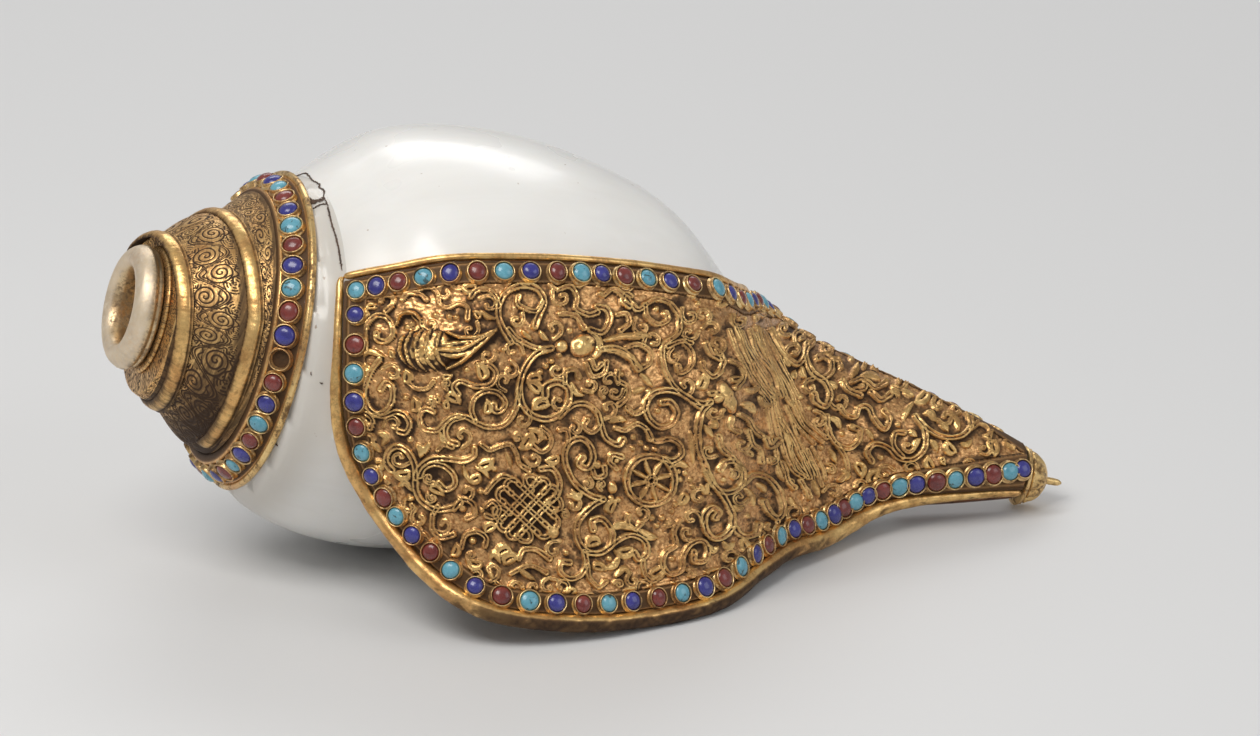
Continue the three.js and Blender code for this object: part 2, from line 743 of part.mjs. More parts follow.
// The apron's edge at a share of the margin, with the ways outward and upward, both square to the edge.
function marginFrame(t, lift) {
  const edge = marginPoint(t, 0, lift);
  const before = marginPoint(Math.max(0, t - marginStep), 0, lift);
  const along = marginPoint(Math.min(1, t + marginStep), 0, lift).sub(before).normalize();
  const squareTo = (vector, axis) => vector.addScaledVector(axis, -vector.dot(axis)).normalize();
  const outward = squareTo(edge.clone().sub(marginPoint(t, rimRollRadius, lift)), along);
  const upward = squareTo(squareTo(marginPoint(t, 0, lift + 1).sub(edge), along), outward);
  return { edge, outward, upward };
}

// A rod laid beside the apron's margin from one share of the margin to another, its radius a function of the share.
function rodBeside(fromT, toT, steps, sides, radiusAt) {
  const rod = new THREE.CylinderGeometry(1, 1, 1, sides, steps);
  return moved(rod, (p) => {
    const t = fromT + (toT - fromT) * (p.y + HALF);
    const radius = radiusAt(t);
    const { edge, outward, upward } = marginFrame(t, plateLift + HALF * plateThickness);
    const out = radius + rodClearance + p.x * radius;
    return edge.addScaledVector(outward, out).addScaledVector(upward, p.z * radius);
  });
}

// The rolled rim is thin down the left side and at the tip, and thickest under the wing.
function makeRimRoll() {
  const radiusAt = (t) => {
    const grown = THREE.MathUtils.smoothstep(t, marginTopShare, marginSideShare);
    const shrunk = THREE.MathUtils.smoothstep(t, rimThinsFromShare, 1);
    return rimRollThinnest + (rimRollRadius - rimRollThinnest) * grown * (1 - shrunk);
  };
  return rodBeside(marginTopShare, 1, rimRollSteps, rodSides, radiusAt);
}

function makeTopFillet() {
  const [from, to] = filletShares;
  return rodBeside(from, to, apronStepsAlong, filletSides, () => filletRadius);
}

function makeJewelBorder() {
  const steps = borderSteps;
  let border = toSolid(bentBlock(steps, 2, (u, v, w) => {
    const inset = borderInset + (HALF - v) * borderWidth;
    return marginPoint(u, inset, borderLift + w * borderThickness);
  }));
  const path = new THREE.CurvePath();
  for (let i = 0; i < steps; i += 1) {
    const [from, to] = [i, i + 1].map((step) => marginPoint(step / steps, borderInset, borderLift));
    path.add(new THREE.LineCurve3(from, to));
  }
  const lengths = [0, ...path.getCurveLengths()];
  for (let i = 0; i < borderStones; i += 1) {
    const reach = lengths.at(-1) * (i + HALF) / borderStones;
    const step = lengths.findLastIndex((length) => length <= reach);
    const past = (reach - lengths[step]) / (lengths[step + 1] - lengths[step]);
    const share = (step + past) / steps;
    const surface = path.curves[step].getPoint(past);
    const across = marginPoint(share, borderInset + 1, borderLift).sub(marginPoint(share, borderInset - 1, borderLift));
    const upward = marginPoint(share, borderInset, borderLift + 1).sub(surface);
    const facing = across.cross(path.curves[step].getTangent(past)).normalize();
    if (facing.dot(upward) < 0) facing.negate();
    border = border.add(toSolid(stoodOn([
      [0, studBase], [studRadius, studBase], [studRadius * studTaper, studHeight],
      [0, borderThickness + studHeight],
    ], studSides, { surface, facing })));
  }
  return fromSolid(border.simplify(smallestDetail));
}

// The sleeve that closes the beak behind the canal.
function makeBeakSleeve() {
  const from = sleeveStartShare * whorlLength;
  const to = apronEndsAt - touchingGap;
  return bentBlock(8, 12, (u, v, w) => {
    const along = from + (to - from) * u;
    const angle = sleeveAngle + (sleeveAngleEnd - sleeveAngle) * v;
    const behind = THREE.MathUtils.smoothstep(angle, sleeveAngle, sleeveMeetsShellAngle);
    const radius = THREE.MathUtils.lerp(outlineRadius(along), bodyRadius(along, angle - TURN), behind);
    return roundAxis(along, angle, radius + sleeveLift + w * plateThickness);
  });
}

// The finial stands on the end of the beak, on the bent axis.
function finialPiece(geometry) {
  return moved(geometry, (p) => {
    const base = roundAxis(apronEndsAt, 0, 0);
    return new THREE.Vector3(p.x, p.y + base.y, p.z + base.z);
  });
}

function makeCollar() {
  const from = apronEndsAt + touchingGap;
  return finialPiece(turned([
    [0, from], [0, from + collarLength], [collarRadius * 0.85, from + collarLength],
    [collarRadius, from + HALF * collarLength], [collarRadius * 0.85, from],
  ], 20));
}

function makeKnob() {
  const from = apronEndsAt + collarLength + 2 * touchingGap;
  const profile = [[0, from]];
  const steps = 6;
  for (let i = steps; i >= 1; i -= 1) {
    const rise = HALF * HALF * FULL_CIRCLE * i / steps;
    profile.push([knobRadius * Math.sin(rise), from + knobLength * Math.cos(rise)]);
  }
  profile.push([0, from + knobLength]);
  const knob = turned(profile.reverse(), 2 * knobRibs);
  return finialPiece(moved(knob, (p) => {
    const around = Math.atan2(p.y, p.z);
    const rib = 1 - knobRibDepth / knobRadius * HALF * (1 + Math.cos(knobRibs * around));
    return new THREE.Vector3(p.x, p.y * rib, p.z * rib);
  }));
}

function makePin() {
  const from = apronEndsAt + collarLength + knobLength + 3 * touchingGap;
  return finialPiece(turned([
    [0, from], [0, from + pinLength], [pinRadius * 0.6, from + pinLength], [pinRadius, from + pinLength * 0.8],
    [pinRadius, from],
  ], 10));
}

addPart(cap, 'mouthpiece_lip', makeLipRoll(), finish.giltWorn);
addPart(cap, 'mouthpiece_flange', makeFlange(), finish.gilt);
addPart(cap, 'blow_tube', makeBlowTube(), finish.copper);
addPart(cap, 'cap_sheet', makeCapSheet(), finish.gilt);
addPart(cap, 'cap_cement', makeCement(), finish.cement);
addPart(cap, 'cap_spiral_moulding', makeSpiralMoulding(), finish.gilt);
addPart(cap, 'cap_jewel_band', makeJewelBand(), finish.gilt);
addPart(cap, 'cap_edge_rim', makeEdgeRim(), finish.gilt);
const stoneFinishes = [finish.turquoise, finish.red, finish.blue];
for (let i = 0; i < capStonePlaces; i += 1) {
  if (i !== emptyPlace) {
    addPart(cap, `cap_stone_${String(i + 1).padStart(2, '0')}`, makeStone(capPlace(i)), stoneFinishes[i % 3]);
  }
}
addPart(conch, 'apron_plate', makeApronPlate(), finish.gilt);
addPart(conch, 'apron_lining', makeLining(), finish.copper);
addPart(conch, 'apron_rim_roll', makeRimRoll(), finish.gilt);
addPart(conch, 'apron_top_fillet', makeTopFillet(), finish.gilt);
addPart(conch, 'apron_jewel_border', makeJewelBorder(), finish.gilt);
addPart(conch, 'beak_sleeve', makeBeakSleeve(), finish.copper);
addPart(conch, 'finial_collar', makeCollar(), finish.gilt);
addPart(conch, 'finial_knob', makeKnob(), finish.gilt);
addPart(conch, 'finial_pin', makePin(), finish.gilt);

// The object stands with the middle of its footprint at the origin.
const extent = new THREE.Box3().setFromObject(conch, true);
const middle = extent.getCenter(new THREE.Vector3());
conch.position.x -= middle.x;
conch.position.y -= middle.y;
conch.position.z -= extent.min.z;
conch.updateMatrixWorld(true);

export default conch;
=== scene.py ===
import math
import bmesh
import bpy
import numpy as np
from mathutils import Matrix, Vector
from mathutils.bvhtree import BVHTree


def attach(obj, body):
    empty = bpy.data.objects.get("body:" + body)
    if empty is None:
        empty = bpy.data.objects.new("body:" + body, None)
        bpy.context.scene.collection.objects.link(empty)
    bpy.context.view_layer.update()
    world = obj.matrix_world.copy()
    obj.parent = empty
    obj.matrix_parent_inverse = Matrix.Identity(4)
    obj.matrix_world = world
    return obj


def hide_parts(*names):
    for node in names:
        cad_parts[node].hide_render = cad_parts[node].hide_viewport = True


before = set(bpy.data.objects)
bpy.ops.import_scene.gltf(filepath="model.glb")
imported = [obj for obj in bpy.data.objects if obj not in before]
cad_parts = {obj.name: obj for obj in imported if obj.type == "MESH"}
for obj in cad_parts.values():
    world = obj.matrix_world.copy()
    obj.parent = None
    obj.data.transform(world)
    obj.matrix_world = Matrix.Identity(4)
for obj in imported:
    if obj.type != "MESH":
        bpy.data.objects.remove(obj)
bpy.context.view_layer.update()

# Sizes in millimetres, the same as the solids'. The shell's own axis is x, tipped so that the object rests on the table.
GROWTH = 1.45
APEX_BEYOND = 25.0
LENGTH = 240.0
RADIUS = 60.3
OUTLINE = [(0.15, 0.62), (0.175, 0.697), (0.196, 0.763), (0.2375, 0.896), (0.283, 0.965), (0.367, 1.0),
           (0.458, 0.959), (0.542, 0.85), (0.608, 0.64), (0.658, 0.48), (0.733, 0.345), (0.792, 0.285),
           (0.9, 0.179), (1.0, 0.05)]
SUTURE = 0.152
FADE_START = 0.5
FADE_END = 0.82
WALL = 3.2
WALL_THINNING = 0.6
LIP_TURN = 0.3
BEND_FROM = 130.0
BEND_OFFSET = 17.0
BEND_POWER = 1.7
BEND_UP = math.radians(13)
SPIRE_DROP = 0.9
SPIRE_DROP_FROM = 35.5
SPIRE_DROP_TO = 48.0
SPIRAL_STATION = 31.3
SPIRAL_RADIUS = 20.2
LEAN_FRONT = 0.05
LEAN_UP = 0.02
CAP_ENDS = 28.4
JEWEL_BAND_ENDS = 34.4
BLOW_HOLE = 9.0
LIP_ROLL = 3.4
LIP_STATION = 2.4
APRON_ENDS = 235.0
TOP_EDGE = [(42, 53.5), (60, 50.5), (80, 48.5), (110, 44.5), (133, 39.5), (146, 31), (157, 9), (170, -18),
            (205, -24), (235, -22)]
LEFT_EDGE = [(42, 53.5), (43, 70), (46, 90), (51, 103.5), (59.5, 112), (71, 115.8)]
FREE_EDGE = [(71, 115.8), (79, 116.3), (89, 115.8), (102, 114.8), (117, 113.8), (131, 112.8), (145, 111.8),
             (159, 111.5), (173, 113.5), (186, 116.5), (200, 113), (218, 107), (235, 101)]
TIP_EDGE = [(235, -22), (235, 40), (235, 101)]
FLARE_FROM = 88.0
FLARE_FULL = 117.0
FLARE_POWER = 2.6
FLARE = [(40, 0), (55, 0.4), (67, 4.6), (87, 15.4), (110, 19), (135, 19), (158, 17.5), (174, 17), (188, 8.5),
         (202, 2.5), (220, 0.6), (245, 0.4)]
LINING_LIFT = 1.1
PLATE_LIFT = 2.1
PLATE_THICK = 1.0
MARGIN_TOP = 0.42
MARGIN_SIDE = 0.58
AXIS_SLOPE = math.radians(16.2)
SHELL_ORIGIN = (-116.973, 12.938, 70.752)

# The camera: the photograph's scale in millimetres to the pixel, and where the shell's origin falls in it.
PIXEL = 0.25
ORIGIN_PIXEL = (127.0, 302.0)
PHOTO_SIZE = (1260, 736)
VIEW_TURN = math.radians(-15.05)
VIEW_RISE = math.radians(20)
VIEW_DISTANCE = 4000.0
MID_DEPTH = -27.0

right = np.array([math.cos(VIEW_TURN), math.sin(VIEW_TURN), 0.0])
up = np.array([-math.sin(VIEW_TURN) * math.sin(VIEW_RISE), math.cos(VIEW_TURN) * math.sin(VIEW_RISE),
               math.cos(VIEW_RISE)])
back = np.cross(right, up)


def smooth_through(pairs):
    """A smooth curve through (place, value) pairs, the same as the solids use."""
    x = np.array([p[0] for p in pairs], float)
    y = np.array([p[1] for p in pairs], float)
    last = len(x) - 1

    def at(place):
        t = np.clip(np.asarray(place, float), x[0], x[-1])
        i = np.clip(np.searchsorted(x, t, side="right") - 1, 0, last - 1)
        t0, t1 = x[i], x[i + 1]
        first, final = i == 0, i == last - 1
        before = np.where(first, t1, x[np.maximum(i - 1, 0)])
        after = np.where(final, t0, x[np.minimum(i + 2, last)])
        y_before = np.where(first, y[i + 1], y[np.maximum(i - 1, 0)])
        y_after = np.where(final, y[i], y[np.minimum(i + 2, last)])
        half = (t1 - t0) * 0.5
        wp, wn = half / (t0 - before), half / (after - t1)
        p = (t - t0) / (t1 - t0)
        pp, ppp = p * p, p * p * p
        return ((-wp * ppp + 2 * wp * pp - wp * p) * y_before + ((1 + wp) * ppp + (-1.5 - 2 * wp) * pp
                + (-0.5 + wp) * p + 1) * y[i] + ((-1 - wn) * ppp + (1.5 + wn) * pp + 0.5 * p) * y[i + 1]
                + (wn * ppp - wn * pp) * y_after)

    return at


def edge_curve(pairs):
    """A spline through points, followed by its length."""
    points = np.array(pairs, float)
    last = len(points) - 1

    def raw(t):
        f = np.clip(t, 0, 1) * last
        i = np.minimum(np.floor(f).astype(int), last)
        w = (f - i)[:, None]
        p0 = points[np.where(i == 0, i, i - 1)]
        p1 = points[i]
        p2 = points[np.minimum(i + 1, last)]
        p3 = points[np.minimum(i + 2, last)]
        v0, v1 = (p2 - p0) * 0.5, (p3 - p1) * 0.5
        return ((2 * p1 - 2 * p2 + v0 + v1) * w ** 3 + (-3 * p1 + 3 * p2 - 2 * v0 - v1) * w ** 2 + v0 * w + p1)

    table = raw(np.linspace(0, 1, 201))
    lengths = np.concatenate([[0], np.cumsum(np.linalg.norm(np.diff(table, axis=0), axis=1))])

    def at(share):
        share = np.clip(np.asarray(share, float), 0, 1)
        return raw(np.interp(share * lengths[-1], lengths, np.linspace(0, 1, 201)))

    return at


def smoothstep(x, low, high):
    t = np.clip((np.asarray(x, float) - low) / (high - low), 0, 1)
    return t * t * (3 - 2 * t)


outline = smooth_through([(a * LENGTH, b * RADIUS) for a, b in OUTLINE])
flare_out = smooth_through(FLARE)
top_edge, left_edge, free_edge, tip_edge = (edge_curve(e) for e in (TOP_EDGE, LEFT_EDGE, FREE_EDGE, TIP_EDGE))


def growth(turn, station):
    grown = GROWTH ** turn
    fade = 1 - smoothstep(station / LENGTH, FADE_START, FADE_END)
    return np.where(turn <= 0, grown, 1 + (grown - 1) * fade)


def along_axis(turn, station):
    return (station + APEX_BEYOND) * growth(turn, station) - APEX_BEYOND


def body_radius(along, angle):
    turn = angle / 360
    station = along + 0.0 * turn
    for _ in range(8):
        station = (along + APEX_BEYOND) / growth(turn, station) - APEX_BEYOND
    return outline(station) * growth(turn, station)


def in_row(x, y, z):
    """From the shell's own frame to the object's, in millimetres."""
    c, s = math.cos(AXIS_SLOPE), math.sin(AXIS_SLOPE)
    return np.stack([x * c + z * s + SHELL_ORIGIN[0], y + SHELL_ORIGIN[1], z * c - x * s + SHELL_ORIGIN[2]], -1)


def round_axis(along, angle, radius):
    past = np.maximum(0, along - BEND_FROM) / (LENGTH - BEND_FROM)
    bend = BEND_OFFSET * past ** BEND_POWER
    drop = SPIRE_DROP * (1 - smoothstep(along, SPIRE_DROP_FROM, SPIRE_DROP_TO))
    a = np.radians(angle)
    return in_row(along, -radius * np.sin(a) - bend * math.cos(BEND_UP),
                  radius * np.cos(a) + bend * math.sin(BEND_UP) - drop)


def round_cap(along, angle, radius):
    a = np.radians(angle)
    return in_row(along, -radius * np.sin(a), radius * np.cos(a) - SPIRE_DROP)


def to_photo(points):
    """Where points in millimetres fall in the photograph, in its pixels."""
    from_origin = points - np.array(SHELL_ORIGIN)
    return ORIGIN_PIXEL[0] + from_origin @ right / PIXEL, ORIGIN_PIXEL[1] - from_origin @ up / PIXEL


def apron_spot(s, q):
    s, q = np.clip(s, 0, 1), np.clip(q, 0, 1)
    s1, q1 = s[:, None], q[:, None]
    corner = lambda x: np.array(x, float)
    return (top_edge(s) * (1 - q1) + free_edge(s) * q1 + left_edge(q) * (1 - s1) + tip_edge(q) * s1
            - corner(TOP_EDGE[0]) * (1 - s1) * (1 - q1) - corner(TOP_EDGE[-1]) * s1 * (1 - q1)
            - corner(FREE_EDGE[0]) * (1 - s1) * q1 - corner(FREE_EDGE[-1]) * s1 * q1)


def apron_point(s, q, lift):
    spot = apron_spot(s, q)
    along, angle = spot[:, 0], spot[:, 1]
    past = np.maximum(0, angle - FLARE_FROM) / (FLARE_FULL - FLARE_FROM)
    radius = body_radius(along, angle) + flare_out(along) * past ** FLARE_POWER
    return round_axis(along, angle, radius + lift)


# Meshes
def add_piece(mesh, name, stands_for=(), material=None):
    piece = bpy.data.objects.new(name, mesh)
    bpy.context.scene.collection.objects.link(piece)
    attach(piece, "root")
    if stands_for:
        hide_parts(*stands_for)
    if material:
        mesh.materials.clear()
        mesh.materials.append(material)
    return piece


def shade_smooth(mesh):
    mesh.polygons.foreach_set("use_smooth", np.ones(len(mesh.polygons), bool))


def outward(work):
    bmesh.ops.remove_doubles(work, verts=work.verts, dist=1e-6)
    bmesh.ops.recalc_face_normals(work, faces=work.faces)


def laid_sheet(name, steps_u, steps_v, place, wrap=False, values=None):
    """A grid laid on a form: place(u, v) gives its points in millimetres; values(u, v) gives attributes."""
    work = bmesh.new()
    bmesh.ops.create_grid(work, x_segments=steps_u, y_segments=steps_v, size=0.5)
    mesh = bpy.data.meshes.new(name)
    work.to_mesh(mesh)
    work.free()
    flat = np.empty(len(mesh.vertices) * 3, np.float32)
    mesh.vertices.foreach_get("co", flat)
    u, v = flat[0::3] + 0.5, flat[1::3] + 0.5
    placed = place(u.astype(float), v.astype(float))
    points, extra = placed if isinstance(placed, tuple) else (placed, {})
    mesh.vertices.foreach_set("co", (points * 0.001).astype(np.float32).ravel())
    for key, value in extra.items():
        layer = mesh.attributes.new(key, "FLOAT", "POINT")
        layer.data.foreach_set("value", np.asarray(value, np.float32))
    mesh.update()
    if wrap:
        work = bmesh.new()
        work.from_mesh(mesh)
        outward(work)
        work.to_mesh(mesh)
        work.free()
    shade_smooth(mesh)
    return mesh


def photo_place(x, y):
    """The point in the middle plane that the camera sees at a pixel of the photograph."""
    return (np.array(SHELL_ORIGIN) + right * (x - ORIGIN_PIXEL[0]) * PIXEL - up * (y - ORIGIN_PIXEL[1]) * PIXEL
            + back * MID_DEPTH)


def camera_place():
    return photo_place(PHOTO_SIZE[0] / 2, PHOTO_SIZE[1] / 2) + back * VIEW_DISTANCE


def camera_and_light():
    data = bpy.data.cameras.new("camera")
    data.sensor_width = 36
    data.lens = 36 * VIEW_DISTANCE / (PHOTO_SIZE[0] * PIXEL)
    data.clip_end = 20
    camera = bpy.data.objects.new("camera", data)
    camera.location = Vector(camera_place() * 0.001)
    camera.rotation_euler = Vector(back).to_track_quat("Z", "Y").to_euler()
    bpy.context.scene.collection.objects.link(camera)
    bpy.context.scene.camera = camera
    for name, at, size, power, tint in LAMPS:
        lamp = bpy.data.lights.new(name, "AREA")
        lamp.shape = "RECTANGLE"
        lamp.size, lamp.size_y = size
        lamp.energy = power
        lamp.color = tint
        holder = bpy.data.objects.new(name, lamp)
        holder.location = at
        holder.rotation_euler = (Vector(at) - Vector((0, 0, 0.05))).to_track_quat("Z", "Y").to_euler()
        bpy.context.scene.collection.objects.link(holder)


LAMPS = [("key", (-0.5, -0.35, 0.95), (0.7, 0.5), 7.2, (1, 0.98, 0.95)),
         ("fill", (0.9, -0.8, 0.7), (0.8, 0.8), 2.8, (0.95, 0.97, 1)),
         ("rim", (0.2, 0.9, 0.8), (0.9, 0.4), 3.0, (1, 1, 1))]


# Materials
def new_material(name):
    material = bpy.data.materials.new(name)
    material.use_nodes = True
    nodes, links = material.node_tree.nodes, material.node_tree.links
    return material, nodes, links, nodes["Principled BSDF"]


def noise(nodes, links, scale, detail=4.0, rough=0.55, distortion=0.0, stretch=None):
    """A noise pattern on the piece, its scale in the size of one patch in millimetres."""
    place = nodes.new("ShaderNodeTexCoord")
    source = place.outputs["Object"]
    if stretch:
        mapping = nodes.new("ShaderNodeMapping")
        mapping.inputs["Scale"].default_value = stretch
        links.new(source, mapping.inputs["Vector"])
        source = mapping.outputs["Vector"]
    pattern = nodes.new("ShaderNodeTexNoise")
    pattern.inputs["Scale"].default_value = 1000.0 / scale
    pattern.inputs["Detail"].default_value = detail
    pattern.inputs["Roughness"].default_value = rough
    pattern.inputs["Distortion"].default_value = distortion
    links.new(source, pattern.inputs["Vector"])
    return pattern.outputs["Fac"]


def ramp(nodes, links, source, stops):
    """Colours or levels at places of a value."""
    band = nodes.new("ShaderNodeValToRGB")
    points = band.color_ramp.elements
    while len(points) < len(stops):
        points.new(0.5)
    for point, (where, colour) in zip(points, stops):
        point.position = where
        point.color = (*colour, 1) if isinstance(colour, tuple) else (colour, colour, colour, 1)
    links.new(source, band.inputs["Fac"])
    return band.outputs["Color"]


def math_node(nodes, links, operation, a, b=0.5, clamp=False):
    node = nodes.new("ShaderNodeMath")
    node.operation = operation
    node.use_clamp = clamp
    for socket, value in zip(node.inputs, (a, b)):
        if isinstance(value, (int, float)):
            socket.default_value = value
        else:
            links.new(value, socket)
    return node.outputs["Value"]


def mixed(nodes, links, share, first, second):
    node = nodes.new("ShaderNodeMix")
    node.data_type = "RGBA"
    for socket, value in ((node.inputs["Factor"], share), (node.inputs["A"], first), (node.inputs["B"], second)):
        if isinstance(value, tuple):
            socket.default_value = (*value, 1)
        elif isinstance(value, (int, float)):
            socket.default_value = value
        else:
            links.new(value, socket)
    return node.outputs["Result"]


def bump(nodes, links, shader, height, strength, distance):
    node = nodes.new("ShaderNodeBump")
    node.inputs["Strength"].default_value = strength
    node.inputs["Distance"].default_value = distance * 0.001
    links.new(height, node.inputs["Height"])
    links.new(node.outputs["Normal"], shader.inputs["Normal"])


def gilt(name, light, middle, grime_and_shade_colour, grime_share, pale=0.0, relief=False, rubbed=False):
    """Fire-gilt copper: bright where it is rubbed, with copper showing in patches. Worked in relief, it is brown in the
    hollows with painted shade as well as soiling, and bright gold on the raised crests, rubbed gilding with a painted
    highlight.
    """
    material, nodes, links, shader = new_material(name)
    cloudy = noise(nodes, links, 5, 5, 0.6, 0.4)
    fine = noise(nodes, links, 1.0, 5, 0.65)
    patch = noise(nodes, links, 16, 3, 0.5)
    colour = mixed(nodes, links, ramp(nodes, links, cloudy, [(0.35, 0.0), (0.65, 1.0)]), middle, light)
    warm = ramp(nodes, links, patch, [(0.5, 0.0), (0.72, 0.5)])
    colour = mixed(nodes, links, warm, colour, (0.5, 0.19, 0.06))
    dirt_and_shade = ramp(nodes, links, math_node(nodes, links, "ADD", math_node(nodes, links, "MULTIPLY", cloudy, 0.5),
                                        math_node(nodes, links, "MULTIPLY", fine, 0.5)),
                [(0.5 - grime_share * 0.25, 0.8), (0.56 - grime_share * 0.12, 0.0)])
    if relief:
        # With relief: the hollows beside the raised work are darkened towards the dark brown with painted shade as well
        # as soiling, and the raised crests take bright gold over the orange ground, rubbed gilding with a painted
        # highlight.
        worked, polish_and_highlight = (nodes.new("ShaderNodeAttribute") for _ in range(2))
        worked.attribute_name = "hollow"
        polish_and_highlight.attribute_name = "shine"
        ground = mixed(nodes, links, ramp(nodes, links, fine, [(0.35, 0.0), (0.6, 1.0)]), (0.5, 0.23, 0.085),
                       (0.86, 0.5, 0.21))
        colour = mixed(nodes, links, ramp(nodes, links, polish_and_highlight.outputs["Fac"], [(0.1, 0.0), (0.6, 1.0)]), ground,
                       colour)
        deep = math_node(nodes, links, "ADD", worked.outputs["Fac"], math_node(nodes, links, "MULTIPLY", fine, 0.3))
        dirt_and_shade = math_node(nodes, links, "MAXIMUM", math_node(nodes, links, "MULTIPLY", dirt_and_shade, 0.5),
                         ramp(nodes, links, deep, [(0.45, 0.0), (0.64, 0.8), (0.88, 1.0)]))
    # Darkened towards the dark brown: soiling, and with relief also painted shade in the hollows.
    colour = mixed(nodes, links, dirt_and_shade, colour, grime_and_shade_colour)
    if pale:
        share = ramp(nodes, links, fine, [(0.3, pale), (0.7, pale * 0.45)])
        if rubbed:
            worn_away = nodes.new("ShaderNodeAttribute")
            worn_away.attribute_name = "rubbed"
            share = math_node(nodes, links, "MULTIPLY", share, worn_away.outputs["Fac"])
        colour = mixed(nodes, links, share, colour, (0.77, 0.65, 0.5))
        dirt_and_shade = math_node(nodes, links, "MAXIMUM", dirt_and_shade, math_node(nodes, links, "MULTIPLY", share, 0.62))
    links.new(colour, shader.inputs["Base Color"])
    links.new(ramp(nodes, links, math_node(nodes, links, "ADD", math_node(nodes, links, "MULTIPLY", dirt_and_shade, 0.7),
                                           math_node(nodes, links, "MULTIPLY", fine, 0.4)),
                   [(0.1, 0.26), (0.9, 0.62)]), shader.inputs["Roughness"])
    links.new(math_node(nodes, links, "SUBTRACT", 0.92, math_node(nodes, links, "MULTIPLY", dirt_and_shade, 0.75), clamp=True),
              shader.inputs["Metallic"])
    shader.inputs["Specular IOR Level"].default_value = 0.25
    bump(nodes, links, shader, math_node(nodes, links, "ADD", fine, cloudy), 0.3, 0.2)
    return material


def shell_white():
    """Shell with a high polish: white, with faint long growth streaks, greyer beside the cap on its sides and underside
    as a painted shade, and a few brown specks.
    """
    material, nodes, links, shader = new_material("shell_white")
    streak = noise(nodes, links, 5, 4, 0.6, 0.3, stretch=(0.08, 1, 1))
    cloud = noise(nodes, links, 40, 3, 0.5)
    speck = noise(nodes, links, 2.2, 2, 0.4)
    colour = mixed(nodes, links, ramp(nodes, links, streak, [(0.3, 0.0), (0.75, 0.5)]), (0.86, 0.85, 0.82),
                   (0.78, 0.765, 0.73))
    colour = mixed(nodes, links, ramp(nodes, links, cloud, [(0.45, 0.0), (0.8, 0.35)]), colour, (0.7, 0.67, 0.61))
    # Painted shade beside the cap, on the shell's sides and underside.
    soiled = nodes.new("ShaderNodeAttribute")
    soiled.attribute_name = "soiled"
    colour = mixed(nodes, links, soiled.outputs["Fac"], colour, (0.45, 0.4, 0.33))
    cracked = nodes.new("ShaderNodeAttribute")
    cracked.attribute_name = "crack"
    colour = mixed(nodes, links, cracked.outputs["Fac"], colour, (0.09, 0.045, 0.02))
    colour = mixed(nodes, links, ramp(nodes, links, speck, [(0.76, 0.0), (0.8, 0.7)]), colour, (0.3, 0.2, 0.12))
    links.new(colour, shader.inputs["Base Color"])
    shader.inputs["Subsurface Weight"].default_value = 0.12
    shader.inputs["Subsurface Radius"].default_value = (0.003, 0.0022, 0.0015)
    shader.inputs["Coat Weight"].default_value = 0.35
    shader.inputs["Coat Roughness"].default_value = 0.14
    links.new(ramp(nodes, links, cloud, [(0.3, 0.24), (0.8, 0.42)]), shader.inputs["Roughness"])
    bump(nodes, links, shader, streak, 0.12, 0.2)
    return material


def stone(name, deep, light, flaw, flaw_share, gloss):
    """A polished stone, clouded, with darker flaws."""
    material, nodes, links, shader = new_material(name)
    cloud = noise(nodes, links, 3.2, 4, 0.6, 0.5)
    spot = noise(nodes, links, 1.5, 3, 0.5, 0.8)
    colour = mixed(nodes, links, ramp(nodes, links, cloud, [(0.3, 0.0), (0.7, 1.0)]), deep, light)
    colour = mixed(nodes, links, ramp(nodes, links, spot, [(0.72 - flaw_share, 0.0), (0.8 - flaw_share, 0.9)]), colour,
                   flaw)
    links.new(colour, shader.inputs["Base Color"])
    shader.inputs["Coat Weight"].default_value = 0.5
    shader.inputs["Coat Roughness"].default_value = 0.1
    links.new(ramp(nodes, links, spot, [(0.3, gloss), (0.8, gloss + 0.2)]), shader.inputs["Roughness"])
    bump(nodes, links, shader, spot, 0.2, 0.15)
    return material


gilt_relief = gilt("gilt_relief", (0.92, 0.62, 0.25), (0.72, 0.42, 0.15), (0.045, 0.023, 0.011), 0.35, relief=True)
gilt_plain = gilt("gilt_plain", (0.86, 0.62, 0.28), (0.68, 0.42, 0.16), (0.07, 0.035, 0.018), 0.35)
gilt_worn = gilt("gilt_worn", (0.74, 0.58, 0.36), (0.62, 0.45, 0.25), (0.12, 0.07, 0.04), 0.4, pale=1.0, rubbed=True)
gilt_rim = gilt("gilt_rim", (0.82, 0.6, 0.26), (0.62, 0.4, 0.15), (0.1, 0.05, 0.022), 0.3)
gilt_collet = gilt("gilt_collet", (0.84, 0.62, 0.3), (0.6, 0.36, 0.15), (0.06, 0.032, 0.018), 0.4)
# Copper under the apron, for its lining and the beak sleeve, painted very dark for the shade beneath the plate.
copper_in_painted_shade = gilt("copper_in_painted_shade", (0.3, 0.15, 0.08), (0.17, 0.08, 0.045), (0.04, 0.025, 0.018), 0.6)
shell_material = shell_white()
turquoise = stone("turquoise", (0.075, 0.27, 0.36), (0.16, 0.43, 0.53), (0.03, 0.06, 0.06), 0.13, 0.22)
red_stone = stone("red_stone", (0.11, 0.012, 0.01), (0.24, 0.04, 0.03), (0.05, 0.01, 0.01), 0.05, 0.2)
blue_stone = stone("blue_stone", (0.02, 0.018, 0.15), (0.05, 0.05, 0.3), (0.01, 0.01, 0.06), 0.05, 0.2)
cement_lac, lac_nodes, lac_links, lac_shader = new_material("cement_lac")
lac_links.new(ramp(lac_nodes, lac_links, noise(lac_nodes, lac_links, 3), [(0.3, (0.05, 0.03, 0.02)),
                                                                           (0.7, (0.12, 0.07, 0.045))]),
              lac_shader.inputs["Base Color"])
lac_shader.inputs["Roughness"].default_value = 0.7


# The shell
def whorl_section(v):
    """Across the wall: out along the outer face and back along the inner one. Gives the station share and the side."""
    outer = v < 0.5
    share = np.where(outer, v * 2, 2 - v * 2)
    return share ** 1.15, outer


